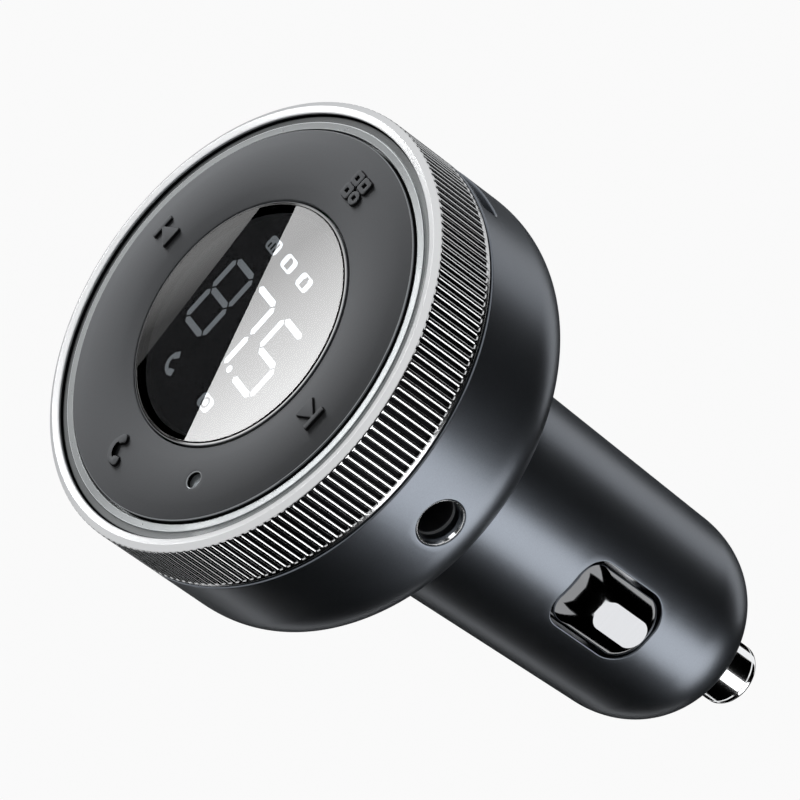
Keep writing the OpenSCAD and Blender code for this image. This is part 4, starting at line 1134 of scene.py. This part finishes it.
def handset_line(height, turn):
    """Outline of a telephone handset: an arc with a block at each end, turned as a whole.
    In a block's own frame u runs out from the arc's centre and v across."""
    arc, grip, spread = height / 2, height * 0.18, 78.0
    half, long = height * 0.15, height * 0.282
    inner = arc - grip
    near = math.sqrt(inner ** 2 - half ** 2)

    def on_arc(radius, angles):
        """Points at (r cos a, r sin a)."""
        return [radius * np.array([math.cos(t), math.sin(t)]) for t in angles]

    blocks = []
    for side in (1, -1):
        a = math.radians(spread * side)
        u, v = np.array([math.cos(a), math.sin(a)]), np.array([-math.sin(a), math.cos(a)]) * side
        uv = [(arc, 0.0), (arc, half), (arc - long, half), (arc - long, -half), (near, -half)]
        blocks.append([u * p + v * q for p, q in uv])
    end = math.radians(spread) - math.atan2(half, near)
    inside = on_arc(inner, np.linspace(end, -end, 12)[1:-1])
    outside = on_arc(arc, np.radians(np.linspace(-spread, spread, 28)[1:-1]))
    line = blocks[0] + inside + blocks[1][::-1] + outside
    # Rounding of a block's corners in millimetres, for a handset 2.6 mm high
    soft = [0, 0.32, 0.22, 0.22, 0.05]
    radii = soft + [0] * len(inside) + soft[::-1] + [0] * len(outside)
    points = rounded(np.array(line), np.array(radii) * height / 2.6, 4, True, 0.0)
    t = math.radians(turn)
    return points @ np.array([[math.cos(t), math.sin(t)], [-math.sin(t), math.cos(t)]])


def make_window(s, finish):
    """The round window: a turned disc with finely rounded edges."""
    edge, inner, middle = 0.03 * MM, 8 * MM, 4 * MM
    rim = rounded(
        [(inner, LENS_FRONT), (LENS_R, LENS_FRONT), (LENS_R, LENS_BACK), (inner, LENS_BACK)],
        [0, edge, edge / 2, 0], 5, False)
    skin = Skin()
    turned(skin, np.concatenate([
        [(0.0, LENS_FRONT), (middle, LENS_FRONT)], rim, [(middle, LENS_BACK), (0.0, LENS_BACK)]]),
        s.columns, closed=False)
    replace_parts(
        skin.piece("dark_window_disc", finish, "housing"), "display_window")


def make_window_rim(s, finish):
    """The thin rim round the window, an L section carried round."""
    lens_edge, seat = LENS_R + CLEAR, FACE_Y + 1.0 * MM
    skin = Skin()
    turned(skin, rounded(
        [(lens_edge, FACE_Y), (WINDOW_R, FACE_Y), (WINDOW_R, BEZEL_BACK), (BEZEL_IN, BEZEL_BACK),
         (BEZEL_IN, seat), (lens_edge, seat)],
        [0.02 * MM, 0.05 * MM, 0.05 * MM, 0, 0, 0], 4), s.columns)
    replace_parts(skin.piece("window_rim", finish, "housing"), "window_bezel")


def make_light_ring(s, finish):
    """The light ring: a stepped face, a seat behind it and a lip that reaches to the lamps."""
    face_in, step, step_y = LIGHT_R - 1.34 * MM, LIGHT_R - 0.6 * MM, LIGHT_FRONT + 0.2 * MM
    back, seat, seat_r = FACE_Y + 1.45 * MM, FACE_Y + 2.0 * MM, 18.28 * MM
    lip_out, lip_in = 17.12 * MM, 16.7 * MM
    skin = Skin()
    turned(skin, rounded(
        [(face_in, LIGHT_FRONT), (step - 0.06 * MM, LIGHT_FRONT), (step, step_y),
         (LIGHT_R, step_y), (LIGHT_R, back), (seat_r, back), (seat_r, seat), (lip_out, seat),
         (lip_out, LIGHT_FOOT), (lip_in, LIGHT_FOOT), (lip_in, back), (face_in, back)],
        [0.1 * MM, 0.06 * MM, 0.04 * MM, 0.1 * MM] + [0] * 8, 5), s.columns)
    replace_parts(skin.piece("milky_ring", finish, "housing"), "light_ring")


def cap_outline(half_u, half_v, corner):
    """A rounded rectangle: each corner's arc is a quarter of the turn, (cos a, sin a) times its
    radius, so outlines of any two sizes match point for point."""
    a = (np.arange(96) + 0.5) * math.pi / 48
    c, s = np.cos(a), np.sin(a)
    return np.stack([
        np.sign(c) * (half_u - corner) + corner * c,
        np.sign(s) * (half_v - corner) + corner * s], -1)


def make_contacts(s, finish):
    """Side contacts: outlines that shrink from the pressed cap's foot to its flat top as they
    rise along an arc, whose normal turns from 70 to 36 degrees, up to a crease."""
    # Half length, half width and corner of the plate's, the foot's and the top's outline, in mm
    plate, foot, top = (6.3, 3.9, 0.4), np.array([5.1, 3.1, 2.1]), np.array([3.15, 1.45, 1.44])
    # Share of the way from the foot's outline to the top's, and height above the foot in mm
    turn = np.radians(np.linspace(70, 36, 16))
    shares = (np.sin(turn[0]) - np.sin(turn)) / (np.sin(turn[0]) - np.sin(turn[-1]))
    heights = 0.12 + 1.86 * (np.cos(turn) - np.cos(turn[0])) / (
        np.cos(turn[-1]) - np.cos(turn[0]))
    slope = [(0.0, -0.8), (0.0, 0.0), *zip(shares, heights), (1.03, 2.0)]
    for node, body, sign, name in (
            ("contact_right", "right_contact", 1.0, "pressed_contact_right"),
            ("contact_left", "left_contact", -1.0, "pressed_contact_left")):
        low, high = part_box(node)
        out = max(abs(low.x), abs(high.x))
        foot_x, plate_x = out - 2 * MM, out - 4 * MM
        rows = [(*plate, 0.0, plate_x - 0.5 * MM), (*plate, 0.0, plate_x), (*foot, 0.0, plate_x)]
        for share, height in slope:
            half_y, half_z, corner = foot + (top - foot) * share
            rows.append((
                half_y, half_z, min(corner, half_z - 0.01), 0.65 * share, foot_x + height * MM))
        loops = []
        for half_y, half_z, corner, shift, x in rows:
            uv = cap_outline(half_z * MM, half_y * MM, corner * MM)
            loops.append(np.stack([
                np.full(len(uv), x * sign), s.contact_place + shift * MM + uv[:, 1],
                sign * uv[:, 0]], -1))
        skin = Skin()
        index = skin.grid(np.stack(loops), close_columns=True)
        skin.cap(index[0])
        skin.cap(index[-1])
        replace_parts(skin.piece(name, finish, body, 9.0), node)


def make_tip(s, finish):
    """Centre tip: a turned pin with a rounded end, its flange and its spring stub."""
    r, stub_r, flange_r = s.tip_radius, 1.5 * MM, s.tip_radius + 1.1 * MM
    flange_end = NOSE_IN - 0.3 * MM
    flange = flange_end - 1.2 * MM
    line = TIP_END - 1.25 * MM
    end = corner_curve(
        r, TIP_END - 0.9 * MM, r - 1.8 * MM, TIP_END, 2.0, np.linspace(0, math.pi / 2, 14))
    profile = np.concatenate([
        [(0.0, TIP_START), (stub_r, TIP_START), (stub_r, flange), (flange_r, flange),
         (flange_r, flange_end), (r, flange_end), (r, line - 0.08 * MM),
         (r - 0.07 * MM, line), (r, line + 0.08 * MM)], end, [(0.0, TIP_END)]])
    skin = Skin()
    turned(skin, profile, 96, closed=False)
    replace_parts(skin.piece("polished_tip", finish, "tip"), "tip_pin")


def make_aux_rim(s, finish):
    """Polished countersunk rim of the AUX jack, turned about the jack's own axis."""
    low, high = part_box("aux_rim")
    y, out = (low.y + high.y) / 2, (high.y - low.y) / 2
    bore = out - 0.3 * MM
    mouth = math.sqrt(s.head_radius ** 2 - out ** 2)
    profile = rounded(
        [(bore, low.x), (out, low.x), (out, mouth), (out - 0.08 * MM, mouth),
         (bore, mouth - 0.5 * MM)],
        [0, 0, 0.04 * MM, 0.04 * MM, 0.1 * MM], 4)
    a = np.linspace(0, 2 * math.pi, 72, endpoint=False)[None]
    r, x = profile[:, :1], profile[:, 1:]
    skin = Skin()
    skin.grid(np.stack([
        np.broadcast_to(x, (len(x), 72)), y + r * np.cos(a), r * np.sin(a)], -1), True, True)
    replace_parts(skin.piece("countersunk_rim", finish, "housing"), "aux_rim")


# Operators


def finishes():
    """The finishes, made once and kept on the scene by their slot's name."""
    scene = bpy.context.scene
    if "slot_finishes" not in scene:
        made = make_finishes(scene.transmitter_colours, scene.transmitter_studio)
        scene["slot_finishes"] = {slot: material.name for slot, material in made.items()}
    return {slot: bpy.data.materials[name] for slot, name in scene["slot_finishes"].items()}


class TRANSMITTER_OT_finish_cad(bpy.types.Operator):
    """Gives every piece of the frame the finish of its material slot"""

    bl_idname = "transmitter.finish_cad"
    bl_label = "Finish the Frame's Pieces"

    def execute(self, context):
        made = finishes()
        for part in frame["record"]["subparts"]:
            mesh = NODES[part["node"]].data
            mesh.materials.clear()
            mesh.materials.append(made[part["material_slot"]])
        return {"FINISHED"}


class TRANSMITTER_OT_head(bpy.types.Operator):
    """Makes the head's satin shell"""

    bl_idname = "transmitter.head"
    bl_label = "Head Shell"

    def execute(self, context):
        make_head_shell(context.scene.transmitter_sizes, finishes()["shell_metal"])
        return {"FINISHED"}


class TRANSMITTER_OT_barrel(bpy.types.Operator):
    """Makes the plug's barrel, its side contacts and its centre tip"""

    bl_idname = "transmitter.barrel"
    bl_label = "Barrel, Contacts and Tip"

    def execute(self, context):
        s, made = context.scene.transmitter_sizes, finishes()
        make_barrel_shell(s, made["shell_metal"])
        make_contacts(s, made["dark_chrome"])
        make_tip(s, made["chrome"])
        return {"FINISHED"}


class TRANSMITTER_OT_ring(bpy.types.Operator):
    """Makes the knurled chrome ring"""

    bl_idname = "transmitter.ring"
    bl_label = "Knurled Ring"

    def execute(self, context):
        s, colours = context.scene.transmitter_sizes, context.scene.transmitter_colours
        make_volume_ring(s, knurled_metal(
            "knurled_chrome", tuple(colours.chrome), 0.17, s.head_radius - 0.12 * MM,
            s.head_radius - 0.04 * MM, FACE_Y + s.knurl_start))
        return {"FINISHED"}


class TRANSMITTER_OT_face(bpy.types.Operator):
    """Makes the key plate with its symbols, the window, its rim and the light ring"""

    bl_idname = "transmitter.face"
    bl_label = "Face"

    def execute(self, context):
        s, colours, made = (
            context.scene.transmitter_sizes, context.scene.transmitter_colours, finishes())
        make_key_plate(
            s, plate_plastic("grained_plate", tuple(colours.plate), PLATE_OUT, s.plate_edge))
        make_key_symbols(s, made["face_plastic"])
        make_window(s, made["window_glass"])
        make_window_rim(s, rim_metal("satin_window_rim"))
        make_light_ring(s, made["light_plastic"])
        return {"FINISHED"}


class TRANSMITTER_OT_sockets(bpy.types.Operator):
    """Makes the AUX jack's polished rim"""

    bl_idname = "transmitter.sockets"
    bl_label = "Sockets"

    def execute(self, context):
        colours = context.scene.transmitter_colours
        make_aux_rim(
            context.scene.transmitter_sizes,
            jack_metal("jack_lining", tuple(colours.body), tuple(colours.chrome)))
        return {"FINISHED"}


# Studio

# The photo camera's axes, and its place in ring radii from the middle of the face
CAMERA_RIGHT = Vector((0.414115, 0.618574, 0.667736))
CAMERA_UP = Vector((-0.512970, -0.447400, 0.732594))
CAMERA_BACK = Vector((0.751911, -0.645910, 0.132034))
CAMERA_PLACE = Vector((0.0, FACE_Y, 0.0)) + 0.02065 * Vector((23.0427, -18.9077, 4.17188))
# The cards' distance from the axis and the place along Y where they end
CARD_R, CARD_END = 0.28, 0.8
# How far past the window its mirrored panels stand, and the black backing behind them
PANEL_AWAY, BACKING_AWAY = 0.155, 0.16


def stage_mesh(name, points, faces, material):
    """A mesh that belongs to the studio and not to the object."""
    mesh = bpy.data.meshes.new(name)
    mesh.from_pydata([tuple(p) for p in points], [], faces)
    mesh.materials.append(material)
    obj = bpy.data.objects.new(name, mesh)
    bpy.context.scene.collection.objects.link(obj)
    return obj


def only_mirrored(obj):
    """Leaves a card to reflections alone."""
    obj.visible_camera = False
    obj.visible_diffuse = False
    obj.visible_transmission = False
    obj.visible_shadow = False
    obj.visible_volume_scatter = False


def black_card_material():
    """A card that gives no light back."""
    material = bpy.data.materials.new("black_card")
    material.use_nodes = True
    tree = material.node_tree
    tree.nodes.clear()
    glow, output = (
        tree.nodes.new(kind) for kind in ("ShaderNodeEmission", "ShaderNodeOutputMaterial"))
    glow.inputs["Color"].default_value = (0.0, 0.0, 0.0, 1.0)
    glow.inputs["Strength"].default_value = 0.0
    tree.links.new(glow.outputs[0], output.inputs["Surface"])
    return material


def panel_glow(name, low, strength, start, end):
    """Light that goes from a grey to white as the card, seen in the window, runs across the
    face from one place to another in millimetres."""
    f = Finish(name, base_color=(0.0, 0.0, 0.0), specular=0.0, emission_strength=strength)
    near, far = (mirrored_outline([(place * MM, 0.0)], PANEL_AWAY)[0] for place in (start, end))
    run = far - near
    x, y, z = f.axes()
    share = (
        (x - near.x) * run.x + (y - near.y) * run.y + (z - near.z) * run.z) / run.length_squared
    f.set(emission_color=f.mix((low,) * 3, (1.0, 1.0, 1.0), share.clamp()))
    return f.material


def curved_card(name, start, end, low, high, material):
    """A card bent round the plug's axis, between two angles and two places along Y."""
    a = np.radians(np.linspace(start, end, 25))
    points = np.concatenate([
        cylinder_points(a, np.full(25, y), CARD_R) for y in (low, high)])
    only_mirrored(stage_mesh(
        name, points, [(i, i + 1, i + 26, i + 25) for i in range(24)], material))


def softbox(name, centre, target, width, height, long_axis, radiance):
    """An area light of a given brightness. Its power is brightness * area * pi."""
    light = bpy.data.lights.new(name, "AREA")
    light.shape = "RECTANGLE"
    light.size, light.size_y = width, height
    light.energy = radiance * width * height * math.pi
    obj = bpy.data.objects.new(name, light)
    normal = (Vector(target) - Vector(centre)).normalized()
    up = Vector(long_axis) - normal * normal.dot(Vector(long_axis))
    up.normalize()
    side = up.cross(-normal)
    obj.matrix_world = Matrix((
        (side.x, up.x, -normal.x, centre[0]), (side.y, up.y, -normal.y, centre[1]),
        (side.z, up.z, -normal.z, centre[2]), (0, 0, 0, 1)))
    bpy.context.scene.collection.objects.link(obj)
    obj.visible_camera = False
    return obj


def mirrored_outline(outline, distance):
    """Carries points of the window's face along their mirrored rays to a plane at a distance.
    The ray leaves a face point as if it came from the camera's mirror image behind the face."""
    centre = Vector((0, LENS_FRONT, 0))
    image = Vector((CAMERA_PLACE.x, 2 * LENS_FRONT - CAMERA_PLACE.y, CAMERA_PLACE.z))
    middle = (centre - image).normalized()
    points = []
    for x, z in outline:
        p = Vector((x, LENS_FRONT, z))
        ray = (p - image).normalized()
        points.append(p + ray * ((distance - (p - centre).dot(middle)) / ray.dot(middle)))
    return points


def light_path(tree):
    """1 for rays that should see plain white: camera, mirrored and see-through ones."""
    path = tree.nodes.new("ShaderNodeLightPath")
    value = path.outputs["Is Camera Ray"]
    for name in ("Is Glossy Ray", "Is Transmission Ray"):
        more = tree.nodes.new("ShaderNodeMath")
        more.operation = "MAXIMUM"
        tree.links.new(value, more.inputs[0])
        tree.links.new(path.outputs[name], more.inputs[1])
        value = more.outputs[0]
    return value


def mix_by_path(tree, share, dull, plain, output_kind):
    """Mixes two shaders by a share and puts the result out."""
    mix, output = tree.nodes.new("ShaderNodeMixShader"), tree.nodes.new(output_kind)
    for source, socket in zip((share, dull.outputs[0], plain.outputs[0]), mix.inputs):
        tree.links.new(source, socket)
    tree.links.new(mix.outputs[0], output.inputs["Surface"])


def make_surroundings(scene, sky):
    """A world that is plain white where it is seen and weaker where it lights."""
    world = bpy.data.worlds.new("white_surroundings")
    scene.world = world
    world.use_nodes = True
    tree = world.node_tree
    tree.nodes.clear()
    seen, lighting = (tree.nodes.new("ShaderNodeBackground") for _ in range(2))
    for node, strength in ((seen, 1.0), (lighting, sky)):
        node.inputs["Color"].default_value = (1.0, 1.0, 1.0, 1.0)
        node.inputs["Strength"].default_value = strength
    mix_by_path(tree, light_path(tree), lighting, seen, "ShaderNodeOutputWorld")


def make_floor(z):
    """A wide pale floor that is nearly plain white where it is seen and keeps a shadow."""
    finish = bpy.data.materials.new("white_floor")
    finish.use_nodes = True
    tree = finish.node_tree
    tree.nodes.clear()
    matt, glow, scale = (tree.nodes.new(kind) for kind in (
        "ShaderNodeBsdfDiffuse", "ShaderNodeEmission", "ShaderNodeMath"))
    matt.inputs["Color"].default_value = (0.85, 0.85, 0.85, 1.0)
    glow.inputs["Strength"].default_value = 1.0
    scale.operation = "MULTIPLY"
    scale.inputs[1].default_value = 0.95
    tree.links.new(light_path(tree), scale.inputs[0])
    mix_by_path(tree, scale.outputs[0], matt, glow, "ShaderNodeOutputMaterial")
    points = [(x, y, z) for x, y in ((-30, -30), (30, -30), (30, 30), (-30, 30))]
    stage_mesh("floor", points, [(0, 1, 2, 3)], finish)


def make_lights(studio):
    """A long softbox beside the plug, and a small one that grazes the face and that gloss and
    glass don't show."""
    softbox(
        "key_softbox", (0.31, 0.26, -0.01), (0.0, 0.015, 0.0), 0.26, 0.5, (0.646, -0.763, 0.0),
        studio.key)
    graze = softbox(
        "face_softbox", (-0.229, FACE_Y - 0.085, 0.04), (0.0, FACE_Y, 0.0), 0.12, 0.12,
        (0.0, 0.0, 1.0), studio.face)
    graze.data.spread = math.radians(70)
    graze.visible_glossy = False
    graze.visible_transmission = False


def make_cards(studio):
    """Black cards round the plug, seen in its gloss, and the panels that the window mirrors."""
    black = black_card_material()
    for name, start, end, low, high in (
            ("upper_card", 18, 98, 0.02, CARD_END), ("far_card", 134, 238, 0.17, CARD_END),
            ("lower_card", -112, -22, 0.02, CARD_END), ("contact_card", -40, 40, -0.16, 0.06)):
        curved_card(name, start, end, low, high, black)
    ring = np.linspace(0, 2 * math.pi, 32, endpoint=False)
    only_mirrored(stage_mesh(
        "end_card", cylinder_points(ring, np.full(32, CARD_END), CARD_R), [list(range(32))],
        black))

    turn = np.linspace(0, 2 * math.pi, 48, endpoint=False)
    disc = 13.6 * MM * np.stack([np.cos(turn), np.sin(turn)], -1)
    only_mirrored(stage_mesh(
        "window_backing", mirrored_outline(disc, BACKING_AWAY), [list(range(48))], black))
    # The panels' outlines as the window shows them: x and z on its face
    right = np.array([
        (-4.95, 10.47), (-4.2, 14.0), (14.0, 14.0), (14.0, -14.0), (5.5, -14.0),
        (5.15, -10.09)]) * MM
    left = np.array([(-8.36, 10.47), (-14.0, 10.5), (-14.0, -12.0), (-5.50, -12.0)]) * MM
    for name, outline, low, strength, start, end in (
            ("bright_panel", right, 0.5, studio.panel, -3.0, 10.0),
            ("dim_panel", left, 0.25, studio.panel_dim, -6.0, -10.0)):
        glow = panel_glow(f"{name}_light", low, strength, start, end)
        only_mirrored(stage_mesh(
            name, mirrored_outline(outline, PANEL_AWAY), [list(range(len(outline)))], glow))


def make_camera(scene):
    """The camera at the photograph's place, with its lens."""
    camera = bpy.data.cameras.new("photo_camera")
    camera.sensor_width = 36.0
    camera.lens = 343.009
    camera.clip_start, camera.clip_end = 0.01, 100.0
    obj = bpy.data.objects.new("photo_camera", camera)
    r, u, b, p = CAMERA_RIGHT, CAMERA_UP, CAMERA_BACK, CAMERA_PLACE
    obj.matrix_world = Matrix((
        (r.x, u.x, b.x, p.x), (r.y, u.y, b.y, p.y), (r.z, u.z, b.z, p.z), (0, 0, 0, 1)))
    scene.collection.objects.link(obj)
    scene.camera = obj


class TRANSMITTER_OT_stage(bpy.types.Operator):
    """Sets up the white surroundings, the floor, the softboxes, the cards and the camera"""

    bl_idname = "transmitter.stage"
    bl_label = "Studio"

    def execute(self, context):
        scene, studio = context.scene, context.scene.transmitter_studio
        scene.view_settings.view_transform = "Standard"
        make_surroundings(scene, studio.sky)
        make_floor(studio.floor_z)
        make_lights(studio)
        make_cards(studio)
        make_camera(scene)
        return {"FINISHED"}


OPERATORS = (
    TRANSMITTER_OT_finish_cad, TRANSMITTER_OT_head, TRANSMITTER_OT_barrel, TRANSMITTER_OT_ring,
    TRANSMITTER_OT_face, TRANSMITTER_OT_sockets, TRANSMITTER_OT_stage)


class TRANSMITTER_PT_sidebar(bpy.types.Panel):
    """Lists the transmitter's pieces and studio"""

    bl_idname = "TRANSMITTER_PT_sidebar"
    bl_label = "Car FM Transmitter"
    bl_space_type = "VIEW_3D"
    bl_region_type = "UI"
    bl_category = "Transmitter"

    def draw(self, context):
        for operator in OPERATORS:
            self.layout.operator(operator.bl_idname)


GROUPS = (TransmitterSizes, TransmitterColours, StudioSettings)


def register():
    """Registers the classes and puts the settings on the scene."""
    for item in (*GROUPS, *OPERATORS, TRANSMITTER_PT_sidebar):
        bpy.utils.register_class(item)
    bpy.types.Scene.transmitter_sizes = PointerProperty(type=TransmitterSizes)
    bpy.types.Scene.transmitter_colours = PointerProperty(type=TransmitterColours)
    bpy.types.Scene.transmitter_studio = PointerProperty(type=StudioSettings)


def unregister():
    """Takes the settings and the classes away again."""
    del bpy.types.Scene.transmitter_sizes
    del bpy.types.Scene.transmitter_colours
    del bpy.types.Scene.transmitter_studio
    for item in reversed((*GROUPS, *OPERATORS, TRANSMITTER_PT_sidebar)):
        bpy.utils.unregister_class(item)


def main():
    """Registers the add-on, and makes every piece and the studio."""
    register()
    for operator in OPERATORS:
        group, name = operator.bl_idname.split(".")
        getattr(getattr(bpy.ops, group), name)()


if __name__ == "__main__":
    main()
